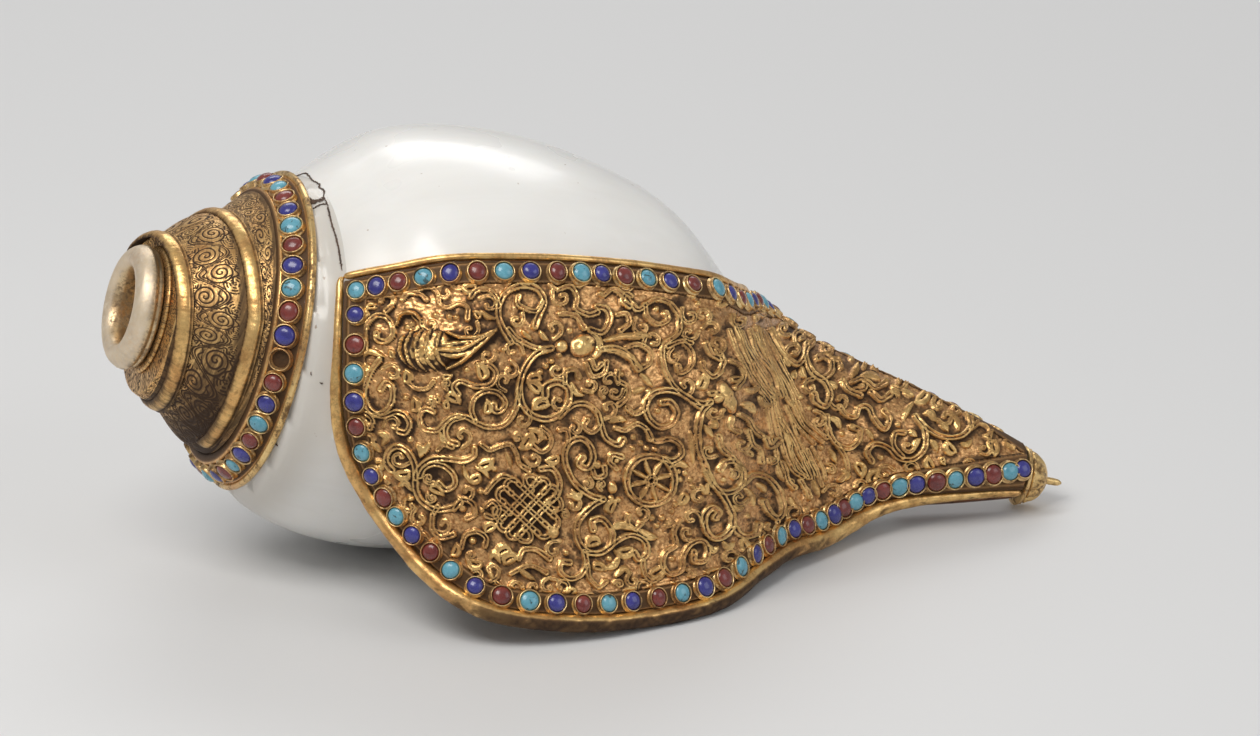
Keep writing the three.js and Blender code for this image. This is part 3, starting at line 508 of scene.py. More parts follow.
def shell_whorls():
    first = -1.7

    def place(u, v):
        turn = first + (LIP_TURN - first) * u
        share, outer = whorl_section(v)
        station = SUTURE * LENGTH + (LENGTH - SUTURE * LENGTH) * share
        wall = WALL * (GROWTH ** turn) ** WALL_THINNING * (1 - 0.5 * share ** 2)
        to_lip = np.clip((LIP_TURN - turn) / 0.006, 0, 1)
        rounded = np.sqrt(1 - (1 - to_lip) ** 2)
        middle = outline(station) * growth(turn, station) - wall * 0.5
        radius = middle + np.where(outer, 0.5, -0.5) * wall * rounded
        along = along_axis(turn, station)
        limit = np.where(along < JEWEL_BAND_ENDS + 2.0, SPIRAL_RADIUS / SPIRAL_STATION * (along + APEX_BEYOND) - 3.6,
                         1e9)
        limit = np.where((along > JEWEL_BAND_ENDS) & (along < 37.2), 38.4, limit)
        radius = np.minimum(radius, limit)
        angle = turn * 360
        near_suture = np.exp(-((station - SUTURE * LENGTH) / 1.5) ** 2) * outer
        ragged = (np.sin(angle * 0.9) + np.sin(angle * 2.3 + 1) + np.sin(angle * 5.1 + 2)) / 3
        radius = radius - near_suture * (0.35 + 0.3 * ragged)
        on_last = outer & (turn > -0.12)
        crack = on_last * np.exp(-((station - SUTURE * LENGTH - 0.2) / (0.55 + 0.3 * ragged)) ** 2)
        # Painted shade: the shell is darker just beyond the cap, on its sides and underside.
        soiled = outer * np.exp(-((along - 40) / 6.5) ** 2) * smoothstep(np.abs(angle), 20, 60) * 0.6
        return round_axis(along, angle, np.maximum(radius, 0.6)), {"crack": crack, "soiled": soiled}

    return laid_sheet("shell_whorls", 300, 200, place, wrap=True)


CRACKS = [(0.9, [(293, 178), (300, 175), (307, 174), (313, 181), (319, 184), (320, 188), (324, 191), (323, 197)]),
          (2.4, [(308, 199), (314, 202), (321, 200), (324, 197)]), (0.8, [(313, 209), (320, 205), (327, 204)]),
          (0.9, [(323, 197), (327, 204), (329, 213), (332, 225), (337, 242), (340, 258), (342, 271)]),
          (0.8, [(320, 382), (323, 384)]), (0.7, [(276, 444), (278, 446)]), (0.5, [(311, 372), (312, 376)])]


def shell_cracks(shell):
    """The open suture and cracks: thin dark ridges of dirt on the shell, found from where the camera stands."""
    tree = BVHTree.FromPolygons([v.co for v in shell.vertices], [p.vertices for p in shell.polygons])
    camera = Vector(camera_place() * 0.001)
    random = np.random.default_rng(4)
    work = bmesh.new()
    for width, points in CRACKS:
        rows = []
        run = through(points, 0.7)
        for i, (x, y) in enumerate(run):
            x, y = x + random.normal() * 0.3, y + random.normal() * 0.3
            at, facing, _, _ = tree.ray_cast(camera, (Vector(photo_place(x, y) * 0.001) - camera).normalized())
            if at is None:
                continue
            ends = math.sqrt(max(1 - (2 * i / (len(run) - 1) - 1) ** 6, 0.02))
            rows.append((at, facing, width * PIXEL * 0.001 * ends * random.uniform(0.6, 1.3)))
        before = None
        for i, (at, facing, half) in enumerate(rows):
            ahead = (rows[min(i + 1, len(rows) - 1)][0] - rows[max(i - 1, 0)][0]).normalized()
            side = facing.cross(ahead).normalized() * half
            ring = [work.verts.new(at + side - facing * 2e-4), work.verts.new(at + facing * 7e-5),
                    work.verts.new(at - side - facing * 2e-4)]
            if before:
                for k in range(3):
                    work.faces.new((before[k], before[k - 1], ring[k - 1], ring[k]))
            if i in (0, len(rows) - 1):
                work.faces.new(ring)
            before = ring
    bmesh.ops.recalc_face_normals(work, faces=work.faces[:])
    mesh = bpy.data.meshes.new("shell_cracks")
    work.to_mesh(mesh)
    work.free()
    return mesh


def columella():
    work = bmesh.new()
    profile = [(0.4, 26), (3.6, 26), (6, 60), (6, 130), (4.5, 175), (2.4, 218), (0.4, 218)]
    verts = [work.verts.new((along, 0, radius)) for radius, along in profile]
    edges = [work.edges.new((verts[i], verts[i + 1])) for i in range(len(verts) - 1)]
    bmesh.ops.subdivide_edges(work, edges=edges, cuts=6)
    bmesh.ops.spin(work, geom=work.verts[:] + work.edges[:], cent=(0, 0, 0), axis=(1, 0, 0), angle=math.tau,
                   steps=24, use_merge=True)
    outward(work)
    for vert in work.verts:
        x, y, z = vert.co
        centre = round_axis(np.array([x]), np.array([0.0]), np.array([0.0]))[0]
        tilt = in_row(0, y, z) - in_row(0, 0, 0)
        vert.co = Vector((centre + tilt) * 0.001)
    mesh = bpy.data.meshes.new("columella")
    work.to_mesh(mesh)
    work.free()
    shade_smooth(mesh)
    return mesh


# The apron's relief, drawn in the photograph's pixels and laid on the sheet from where the camera stands.
# A stem is a strap with a groove down its middle: [half width, points along it].
STEMS = [
    # the spirals beside the small conch, down the left side
    (2.6, [(371, 352), (369, 338), (372, 325), (380, 317), (390, 318), (397, 328), (396, 337), (389, 342), (382, 340),
           (381, 334)]),
    (2.8, [(384, 360), (376, 370), (371, 382), (369, 394), (373, 406), (382, 413), (392, 408), (397, 397), (396, 386),
           (390, 383), (385, 389)]),
    (2.6, [(379, 414), (390, 415), (400, 411), (409, 414), (414, 423), (410, 431), (404, 430)]),
    (2.2, [(363, 411), (371, 412), (377, 419), (375, 427)]),
    (3.0, [(420, 476), (418, 460), (411, 449), (401, 445), (393, 450), (391, 460), (396, 468)]),
    (3.0, [(477, 447), (476, 454), (466, 459), (452, 457), (437, 457), (426, 463), (420, 474), (420, 488), (427, 500),
           (440, 507), (455, 505), (463, 500)]),
    (2.8, [(424, 474), (428, 466), (438, 462), (449, 465), (457, 474), (457, 483), (449, 487), (442, 481)]),
    (2.6, [(437, 411), (430, 408), (425, 412), (424, 421), (429, 428), (440, 429), (448, 421), (458, 415), (469, 416),
           (480, 422), (492, 426), (505, 424), (514, 415), (519, 402), (520, 386), (526, 368), (536, 355), (552, 349)]),
    (2.6, [(478, 420), (474, 409), (477, 398), (487, 391), (499, 392), (507, 401), (504, 409), (497, 410), (496, 404)]),
    (2.6, [(466, 416), (455, 419), (449, 428), (451, 438), (460, 442)]),
    (2.2, [(484, 443), (492, 448), (503, 444), (512, 443), (518, 452), (521, 462), (530, 468)]),
    (2.4, [(385, 303), (389, 297), (397, 299), (396, 307), (390, 312)]),
    (2.2, [(406, 301), (413, 295), (424, 296), (430, 301)]),
    (2.2, [(424, 291), (434, 289), (441, 295), (443, 305), (451, 309), (461, 305), (470, 309), (470, 320)]),
    (2.4, [(473, 299), (478, 293), (488, 291), (497, 297), (500, 308)]),
    (2.6, [(480, 365), (491, 365), (498, 373), (493, 384), (478, 386), (464, 381), (457, 386), (461, 394)]),
    (2.0, [(413, 383), (420, 388), (431, 388), (437, 381)]),
    (2.4, [(441, 448), (447, 443), (455, 445)]),
    (2.4, [(435, 526), (436, 514), (441, 504)]),
    (2.6, [(436, 512), (436, 526), (444, 535), (456, 532)]),
    # the middle of the sheet
    (3.0, [(513, 343), (504, 328), (500, 311), (507, 295), (522, 288), (538, 291), (545, 303), (540, 316), (536, 327)]),
    (2.4, [(543, 304), (538, 312), (528, 311), (519, 305), (520, 298)]),
    (2.4, [(510, 330), (520, 340), (536, 348), (552, 349)]),
    (3.2, [(552, 349), (541, 351), (530, 362), (523, 376), (521, 390), (524, 404), (533, 414), (548, 418), (562, 412),
           (569, 400), (568, 388), (558, 382), (547, 386), (546, 395)]),
    (2.8, [(560, 416), (572, 405), (585, 403), (596, 411), (601, 424), (606, 437), (617, 443), (622, 438)]),
    (2.4, [(597, 412), (599, 424), (592, 431), (584, 426), (587, 419)]),
    (2.4, [(543, 426), (551, 434), (551, 444), (543, 450), (534, 445)]),
    (2.2, [(560, 429), (567, 429), (569, 437), (566, 446)]),
    (3.0, [(603, 497), (590, 493), (576, 482), (568, 468), (565, 454), (569, 442), (580, 437), (590, 444), (593, 456),
           (587, 466), (579, 462), (583, 456)]),
    (2.4, [(592, 467), (596, 475), (604, 473), (604, 465)]),
    (2.6, [(616, 467), (609, 460), (612, 453), (621, 455)]),
    (2.4, [(560, 315), (567, 315), (577, 318), (584, 329)]),
    (2.4, [(560, 291), (570, 289), (577, 299), (576, 310), (588, 316), (597, 314)]),
    (3.0, [(596, 308), (606, 311), (609, 322), (602, 333), (590, 331)]),
    (2.4, [(603, 297), (612, 291), (624, 299), (636, 311), (647, 304), (656, 301), (668, 305), (677, 318), (676, 334),
           (662, 345), (661, 358), (664, 372), (674, 388), (688, 399), (701, 403), (708, 401)]),
    (2.4, [(630, 298), (624, 296), (622, 303), (628, 308)]),
    (2.4, [(643, 306), (646, 318), (656, 325), (666, 321), (664, 314)]),
    (2.4, [(616, 316), (625, 315), (628, 324), (620, 331)]),
    (3.2, [(600, 350), (615, 349), (628, 357), (637, 369)]),
    (2.4, [(625, 348), (637, 345), (648, 352), (648, 363), (640, 368)]),
    (2.4, [(689, 344), (679, 342), (666, 347)]),
    (2.4, [(682, 344), (690, 353), (689, 366), (679, 373), (676, 366)]),
    (2.4, [(565, 383), (566, 372), (575, 370), (579, 377)]),
    (2.2, [(591, 360), (595, 369), (601, 364)]),
    (2.2, [(586, 364), (592, 376), (603, 373), (606, 362)]),
    (2.4, [(617, 371), (617, 380), (626, 386), (626, 397), (618, 404)]),
    (3.0, [(697, 406), (684, 396), (668, 390), (652, 393), (644, 404), (647, 417), (658, 426), (670, 423), (675, 412),
           (669, 402), (661, 402)]),
    (2.6, [(626, 407), (634, 413), (643, 408), (646, 400)]),
    (2.4, [(615, 427), (625, 429), (636, 423), (645, 428), (649, 438)]),
    (2.6, [(646, 430), (654, 440), (668, 438), (678, 443), (680, 453), (671, 459), (663, 457)]),
    # below the knot and the wheel
    (3.0, [(603, 497), (590, 505), (579, 518), (577, 533), (584, 547), (598, 551), (610, 543), (611, 529), (602, 517),
           (592, 519), (593, 527)]),
    (2.6, [(588, 551), (603, 549), (616, 539), (630, 533), (643, 539), (646, 551), (638, 557), (633, 550)]),
    (2.6, [(584, 549), (586, 561), (581, 572), (570, 576), (561, 569), (562, 560), (570, 560)]),
    (2.4, [(587, 563), (589, 575), (598, 584), (605, 579)]),
    (2.4, [(641, 558), (643, 571), (651, 579), (658, 575)]),
    (2.6, [(678, 519), (672, 530), (674, 543), (664, 551), (661, 563), (669, 572), (680, 568), (681, 556), (688, 543),
           (700, 539), (706, 548), (702, 559), (692, 559), (692, 550)]),
    (2.6, [(520, 556), (525, 547), (537, 547), (550, 556)]),
    (2.4, [(464, 545), (468, 533), (479, 529), (488, 535), (487, 543)]),
    (2.2, [(512, 571), (523, 565), (533, 563), (547, 570)]),
    (2.6, [(457, 507), (465, 497), (475, 501), (477, 512), (469, 516)]),
    (2.4, [(487, 504), (495, 499), (501, 507), (496, 515), (488, 513)]),
    (2.4, [(488, 490), (496, 480), (505, 474), (516, 478)]),
    (3.0, [(541, 467), (553, 467), (560, 479), (558, 492), (549, 499)]),
    (2.4, [(628, 513), (627, 521), (634, 527), (640, 521)]),
    # right of the wheel, up to the fold
    (3.0, [(708, 402), (700, 411), (696, 428), (697, 446), (703, 464), (712, 483), (724, 500), (730, 517), (725, 532),
           (713, 537), (704, 529), (702, 515), (709, 506), (716, 510), (713, 516)]),
    (2.8, [(703, 470), (712, 485), (725, 491), (737, 485), (740, 472), (734, 461), (723, 461), (718, 468)]),
    (2.6, [(717, 435), (719, 447), (729, 456), (737, 468)]),
    (2.8, [(739, 483), (750, 474), (765, 477), (776, 491), (781, 507), (776, 518), (766, 511), (761, 501)]),
    (2.8, [(731, 526), (741, 535), (753, 533), (756, 524)]),
    (2.6, [(714, 351), (720, 360), (718, 371), (710, 377), (702, 369), (700, 363)]),
    (2.2, [(728, 361), (738, 367), (740, 379), (733, 388)]),
    (2.6, [(704, 344), (709, 355), (718, 359)]),
    (2.4, [(737, 414), (746, 420), (752, 430), (757, 435)]),
    (2.4, [(729, 417), (728, 427), (736, 431)]),
    (2.4, [(745, 430), (750, 443), (757, 450), (759, 461)]),
    (3.0, [(762, 438), (768, 446), (776, 440)]),
    (2.4, [(769, 330), (779, 350), (788, 362), (797, 365), (804, 355), (806, 345)]),
    (2.4, [(780, 462), (786, 480), (792, 488)]),
    (2.4, [(799, 481), (805, 491), (808, 498)]),
    # the canal
    (2.8, [(812, 344), (804, 354), (808, 370), (819, 379), (830, 374), (831, 364), (824, 358), (817, 359)]),
    (2.8, [(812, 375), (823, 383), (829, 395), (824, 407), (815, 402), (812, 395)]),
    (2.6, [(825, 416), (827, 430), (835, 443), (848, 448), (858, 441), (859, 431), (851, 427)]),
    (2.4, [(835, 443), (845, 457), (847, 470), (840, 480)]),
    (2.2, [(832, 361), (838, 362), (841, 368)]),
    (2.6, [(838, 407), (846, 416), (855, 417), (859, 408), (868, 409), (875, 421), (884, 430), (889, 421), (884, 412)]),
    (2.6, [(916, 417), (925, 432), (925, 449), (914, 459), (899, 458), (888, 448), (875, 444), (867, 452), (872, 461)]),
    (2.6, [(903, 457), (894, 446), (895, 434), (904, 433)]),
    (2.6, [(916, 417), (928, 430), (945, 438), (962, 437), (972, 427), (968, 415)]),
    (2.4, [(972, 430), (981, 425), (991, 431), (990, 439)]),
    (2.6, [(865, 383), (875, 389), (886, 384)]),
    (2.6, [(870, 393), (880, 401), (890, 396)]),
    (2.4, [(842, 382), (848, 391), (860, 397)]),
    (2.4, [(852, 383), (862, 380), (864, 390), (855, 391)]),
]
# A leaf is a plump stroke that narrows to its ends: [half width, points along it].
LEAVES = [
    (4.2, [(588, 331), (598, 340), (599, 352), (592, 361)]), (5.0, [(603, 350), (618, 351), (632, 360), (639, 369)]),
    (3.6, [(604, 341), (622, 337), (640, 336), (650, 338)]),
    (3.0, [(483, 312), (490, 318), (498, 320)]), (3.4, [(366, 358), (374, 352), (389, 357)]),
    (3.2, [(443, 431), (446, 438), (451, 444)]), (3.6, [(403, 484), (410, 481), (416, 489)]),
    (4.0, [(421, 443), (425, 449), (424, 456)]), (3.2, [(433, 441), (430, 447), (429, 452)]),
    (3.6, [(383, 431), (390, 436), (386, 444)]), (3.2, [(384, 450), (379, 444), (376, 440)]),
    (2.8, [(508, 452), (511, 459), (513, 465)]), (2.8, [(466, 464), (468, 472), (472, 480)]),
    (3.0, [(478, 466), (485, 468), (491, 476)]), (3.4, [(542, 430), (544, 435), (548, 438)]),
    (3.0, [(524, 332), (529, 337), (533, 341)]), (3.0, [(541, 332), (545, 338), (549, 341)]),
    (3.2, [(640, 374), (645, 379), (651, 386)]), (3.4, [(632, 392), (638, 390), (644, 387)]),
    (3.6, [(572, 383), (576, 392), (584, 395)]), (3.2, [(642, 338), (630, 338), (617, 335)]),
    (4.2, [(573, 489), (577, 495), (583, 489)]), (4.0, [(610, 421), (618, 418), (626, 420)]),
    (4.2, [(668, 466), (677, 462), (688, 466)]), (3.6, [(689, 431), (691, 447), (692, 462)]),
    (4.6, [(611, 526), (622, 523), (634, 528)]), (5.0, [(636, 528), (647, 534), (657, 536)]),
    (3.4, [(492, 555), (497, 550), (502, 560)]), (3.2, [(520, 566), (528, 572), (536, 577)]),
    (3.8, [(604, 566), (614, 563), (619, 553)]), (3.6, [(615, 574), (624, 566), (629, 573)]),
    (3.2, [(744, 488), (750, 495), (752, 505)]), (3.6, [(756, 483), (761, 487), (763, 492)]),
    (3.8, [(706, 543), (711, 549), (716, 545)]), (3.6, [(722, 541), (727, 546), (732, 541)]),
    (3.8, [(700, 484), (704, 490), (706, 482)]), (3.4, [(732, 505), (736, 508), (741, 506)]),
    (3.0, [(782, 358), (785, 363), (788, 367)]), (3.4, [(800, 368), (802, 374), (805, 378)]),
    (3.6, [(744, 389), (750, 391), (757, 387)]), (3.6, [(757, 397), (762, 404), (768, 406)]),
    (4.6, [(741, 404), (748, 406), (753, 413)]), (3.4, [(784, 434), (787, 440), (789, 444)]),
    (4.2, [(836, 388), (832, 386), (826, 383)]), (4.0, [(829, 418), (836, 421), (840, 429)]),
    (3.8, [(852, 378), (856, 371), (858, 365)]), (4.4, [(862, 377), (872, 376), (880, 381)]),
    (3.8, [(890, 393), (896, 393), (900, 398)]), (3.4, [(904, 392), (909, 395), (914, 397)]),
    (4.2, [(926, 414), (932, 415), (936, 422)]), (3.8, [(941, 424), (946, 428), (949, 432)]),
    (3.4, [(953, 416), (958, 422), (960, 431)]), (3.2, [(913, 404), (908, 411), (904, 421)]),
    (3.6, [(911, 431), (914, 434), (917, 437)]), (3.8, [(914, 449), (917, 443), (921, 439)]),
    (3.8, [(931, 441), (936, 446), (938, 452)]), (3.0, [(867, 430), (870, 434), (873, 440)]),
    (3.4, [(963, 444), (968, 446), (973, 441)]), (3.4, [(843, 470), (848, 476), (842, 481)]),
    (3.0, [(812, 481), (816, 489), (818, 497)]), (3.0, [(788, 498), (791, 503), (795, 508)]),
    (3.6, [(776, 466), (779, 474), (782, 481)]), (3.2, [(829, 449), (833, 456), (836, 463)]),
    (3.6, [(690, 440), (696, 436), (700, 441)]), (3.4, [(703, 425), (707, 430), (710, 436)]),
]
# A boss is a smooth dome: [x, y, half width, half height, turn in degrees].
BOSSES = [
    (381, 337, 3, 3, 0), (410, 397, 3.5, 3.5, 0), (562, 347, 6.5, 6.5, 0), (583, 346, 11, 13.5, 60), (552, 361, 3.5, 3.5, 0),
    (541, 372, 3.5, 3.5, 0), (547, 366, 3, 3, 0), (560, 356, 3, 3, 0), (600, 295, 3.5, 3.5, 0), (621, 374, 3, 3, 0),
    (597, 463, 4.5, 4.5, 0), (616, 459, 3, 3, 0), (716, 398, 5.5, 5.5, 0), (725, 397, 7.5, 18, -24), (712, 424, 6, 5, 0),
    (633, 436, 3, 3, 0), (640, 442, 3, 3, 0), (632, 447, 3, 3, 0), (646, 447, 3, 3, 0), (654, 448, 3, 3, 0),
    (625, 440, 2.6, 2.6, 0), (677, 470, 3, 3, 0), (684, 472, 3, 3, 0), (679, 478, 3, 3, 0), (674, 503, 3.5, 3.5, 0),
    (612, 486, 4.5, 6.5, 0), (611, 496, 3.2, 3.2, 0), (618, 498, 3.2, 3.2, 0), (651, 516, 3.4, 3.4, 0),
    (661, 516, 3.4, 3.4, 0), (656, 524, 3, 3, 0), (483, 489, 3.6, 3.6, 0), (465, 506, 4, 4, 0), (495, 506, 3, 3, 0),
    (556, 508, 4, 4, 0), (553, 530, 7, 7, 0), (484, 508, 3, 3, 0), (475, 538, 4, 4, 0), (840, 367, 3, 3, 0),
    (853, 427, 3.5, 3.5, 0), (987, 437, 3, 3, 0), (861, 387, 3, 3, 0), (799, 397, 3.5, 3.5, 0), (770, 436, 3, 3, 0),
    (690, 553, 3, 3, 0), (648, 391, 3, 3, 0), (505, 350, 3, 3, 0), (392, 487, 3, 3, 0), (415, 496, 4, 3, 0),
]
# The drawn-out folds where the sheet turns over the shell's shoulder.
FOLDS = [[(733, 328), (742, 352), (756, 378), (773, 398)], [(748, 330), (757, 352), (770, 375), (779, 396)],
         [(758, 333), (772, 360), (785, 385), (794, 401)], [(790, 403), (801, 421), (813, 435), (821, 441)],
         [(769, 400), (773, 421), (781, 447), (791, 470), (800, 478)],
         [(782, 418), (790, 436), (799, 452), (810, 478)], [(806, 448), (815, 468), (822, 484)]]
WHEEL = (649.5, 478.5)
WHEEL_RIM = 24.0
WHEEL_HUB = 4.6
WHEEL_SPOKES = 8
WHEEL_FIRST_SPOKE = 15
KNOT = (529, 506)
KNOT_TURN = 43
KNOT_PITCH = 11.5
CONCH_BODY = [(10.0, [(440, 350), (462, 350), (480, 343)]), (4.5, [(474, 345), (487, 338), (498, 331)])]
CONCH_WHORL = (431, 351, 27, 21, -8)
CONCH_RIBS = [[(409, 337), (405, 347), (407, 357), (412, 364)], [(417, 333), (412, 346), (414, 360), (421, 369)],
              [(426, 331), (421, 345), (423, 361), (431, 372)], [(435, 331), (431, 345), (433, 361), (441, 371)],
              [(444, 333), (441, 346), (443, 359), (450, 368)], [(401, 326), (407, 315), (419, 315), (426, 323)],
              [(450, 333), (463, 338), (480, 338), (498, 330)], [(450, 369), (464, 362), (479, 349), (498, 332)]]
RASTER = 2.5
RELIEF_FROM = (330, 245)
RELIEF_TO = (1060, 645)
STEM_HEIGHT = 1.3
LEAF_HEIGHT = 1.0
BOSS_HEIGHT = 1.5


def through(points, spacing=0.35):
    """Points close together on a smooth curve through a few."""
    p = np.array(points, float)
    p = np.vstack([2 * p[0] - p[1], p, 2 * p[-1] - p[-2]])
    runs = []
    for a, b, c, d in zip(p[:-3], p[1:-2], p[2:-1], p[3:]):
        t = np.linspace(0, 1, max(2, int(np.linalg.norm(c - b) / spacing)), endpoint=False)[:, None]
        runs.append(0.5 * (2 * b + (c - a) * t + (2 * a - 5 * b + 4 * c - d) * t ** 2 + (3 * b - a - 3 * c + d) * t ** 3))
    return np.vstack(runs + [p[-2][None]])


class Relief:
    """Heights in millimetres over the photograph's pixels."""

    def __init__(self):
        self.size = tuple(int((b - a) * RASTER) for a, b in zip(RELIEF_FROM, RELIEF_TO))
        self.height = np.zeros((self.size[1], self.size[0]), np.float32)
        self.shine = np.zeros_like(self.height)

    def distance(self, points, reach):
        """The distance from a run of points, over the part of the picture that it can reach."""
        at = (points - np.array(RELIEF_FROM)) * RASTER
        low = np.maximum(np.floor(at.min(0) - reach * RASTER).astype(int), 0)
        high = np.minimum(np.ceil(at.max(0) + reach * RASTER).astype(int) + 1, self.size)
        if (high <= low).any():
            return None
        far = np.full((high[1] - low[1], high[0] - low[0]), 1e9, np.float32)
        share = np.zeros_like(far)
        span = int(reach * RASTER) + 1
        for i, (x, y) in enumerate(at):
            x0, y0 = max(int(x) - span, low[0]), max(int(y) - span, low[1])
            x1, y1 = min(int(x) + span + 1, high[0]), min(int(y) + span + 1, high[1])
            if x1 <= x0 or y1 <= y0:
                continue
            away = ((np.arange(x0, x1) - x) ** 2)[None] + ((np.arange(y0, y1) - y) ** 2)[:, None]
            window = (slice(y0 - low[1], y1 - low[1]), slice(x0 - low[0], x1 - low[0]))
            near = away < far[window]
            share[window] = np.where(near, i / len(at), share[window])
            far[window] = np.minimum(far[window], away)
        return (slice(low[1], high[1]), slice(low[0], high[0])), np.sqrt(far) / RASTER, share

    def lay(self, where, height, shine):
        over = height > self.height[where]
        self.height[where] = np.where(over, height, self.height[where])
        self.shine[where] = np.where(over, shine, self.shine[where])

    def stem(self, half, points, height=STEM_HEIGHT):
        found = self.distance(through(points), half * 1.6)
        if found:
            where, far, share = found
            x = far / (half * (1 + 0.25 * smoothstep(share, 0.8, 1.0)))
            body = 0.5 * (1 - smoothstep(x, 0.9, 1.3))
            ridge = 0.5 * np.exp(-((x - 0.7) / 0.24) ** 2)
            # The crest of each ridge is marked to take bright gold: rubbed gilding with a painted highlight.
            self.lay(where, (body + ridge) * height, np.exp(-((x - 0.72) / 0.27) ** 2))

    def leaf(self, half, points, height=LEAF_HEIGHT):
        found = self.distance(through(points), half * 1.3)
        if found:
            where, far, share = found
            width = half * np.sqrt(np.clip(1 - (2 * share - 0.9) ** 2, 0.06, 1))
            x = np.clip(far / width, 0, 1)
            ribbed = 0.12 * np.cos(x * 9) * (x < 0.9)
            self.lay(where, (np.sqrt(1 - x ** 2) * 0.9 + ribbed) * height * (x < 1), 0.75 * (x < 0.9))

    def boss(self, x, y, half, tall, turn, height=BOSS_HEIGHT):
        found = self.distance(np.array([[x, y]], float), max(half, tall) * 1.1)
        if found:
            where, _, _ = found
            rows, columns = np.mgrid[where]
            dx = columns / RASTER + RELIEF_FROM[0] - x
            dy = rows / RASTER + RELIEF_FROM[1] - y
            c, s = math.cos(math.radians(turn)), math.sin(math.radians(turn))
            away = np.sqrt(((dx * c + dy * s) / half) ** 2 + ((dy * c - dx * s) / tall) ** 2)
            self.lay(where, np.sqrt(np.clip(1 - away ** 2, 0, 1)) * height * min(1, max(half, 3) / 5), 0.8 * (away < 0.8))

    def ring(self, x, y, radius, half, height=STEM_HEIGHT):
        a = np.linspace(0, math.tau, 13)
        self.stem(half, [(x + radius * math.cos(t), y + radius * math.sin(t)) for t in a], height)

    def at(self, layer, x, y):
        """A layer's value at places in pixels."""
        x = np.clip((x - RELIEF_FROM[0]) * RASTER, 0, self.size[0] - 1.001)
        y = np.clip((y - RELIEF_FROM[1]) * RASTER, 0, self.size[1] - 1.001)
        i, j = y.astype(int), x.astype(int)
        fy, fx = y - i, x - j
        return ((layer[i, j] * (1 - fx) + layer[i, j + 1] * fx) * (1 - fy)
                + (layer[i + 1, j] * (1 - fx) + layer[i + 1, j + 1] * fx) * fy)


def soft_noise(shape, size, random):
    """Smooth random values, each bump about size samples across."""
    coarse = random.normal(size=(int(shape[0] / size) + 4, int(shape[1] / size) + 4))
    y, x = np.arange(shape[0]) / size, np.arange(shape[1]) / size
    i, j = y.astype(int), x.astype(int)
    fy, fx = smoothstep(y - i, 0, 1)[:, None], smoothstep(x - j, 0, 1)[None]
    grid = lambda a, b: coarse[a][:, b]
    return ((grid(i, j) * (1 - fx) + grid(i, j + 1) * fx) * (1 - fy)
            + (grid(i + 1, j) * (1 - fx) + grid(i + 1, j + 1) * fx) * fy).astype(np.float32)


def blurred(layer, size):
    """The layer averaged over a square, twice."""
    for _ in range(2):
        for axis in (0, 1):
            total = np.cumsum(np.insert(layer, 0, 0, axis), axis)
            ahead = np.minimum(np.arange(layer.shape[axis]) + size, layer.shape[axis])
            behind = np.maximum(np.arange(layer.shape[axis]) - size, 0)
            width = (ahead - behind).reshape((-1, 1) if axis == 0 else (1, -1))
            layer = (np.take(total, ahead, axis) - np.take(total, behind, axis)) / width
    return layer


def draw_wheel(relief):
    x, y = WHEEL
    relief.ring(x, y, WHEEL_RIM, 3.0)
    for spoke in range(WHEEL_SPOKES):
        a = math.radians(WHEEL_FIRST_SPOKE + 360 * spoke / WHEEL_SPOKES)
        step = lambda r: (x + r * math.cos(a), y - r * math.sin(a))
        relief.leaf(2.6, [step(WHEEL_HUB), step(12), step(WHEEL_RIM - 2)], 1.2)
    relief.ring(x, y, WHEEL_HUB, 1.9, 1.5)


def draw_knot(relief):
    c, s = math.cos(math.radians(KNOT_TURN)), math.sin(math.radians(KNOT_TURN))
    place = lambda a, b: (KNOT[0] + (a * c - b * s) * KNOT_PITCH, KNOT[1] + (a * s + b * c) * KNOT_PITCH)
    for row in (-1, 0, 1):
        relief.stem(2.75, [place(-2.1, row), place(0, row), place(2.1, row)], 1.25)
        relief.stem(2.75, [place(row, -2.1), place(row, 0), place(row, 2.1)], 1.15)
    for side in (-1, 1):
        for low, high in ((-1, 0), (0, 1)):
            arc = [(side * (1.9 + 0.95 * math.sin(a)), (low + high) / 2 - 0.5 * math.cos(a) * (1 + 0.5 * math.sin(a)))
                   for a in np.linspace(0, math.pi, 7)]
            relief.stem(2.75, [place(along, across) for along, across in arc])
            relief.stem(2.75, [place(across, along) for along, across in arc])
        for other in (-1, 1):
            relief.stem(2.5, [place(side * (1.1 + 0.9 * math.sin(a)), other * (1.9 + 0.55 * math.cos(a)))
                              for a in np.linspace(-0.3, math.pi + 0.3, 6)], 1.1)


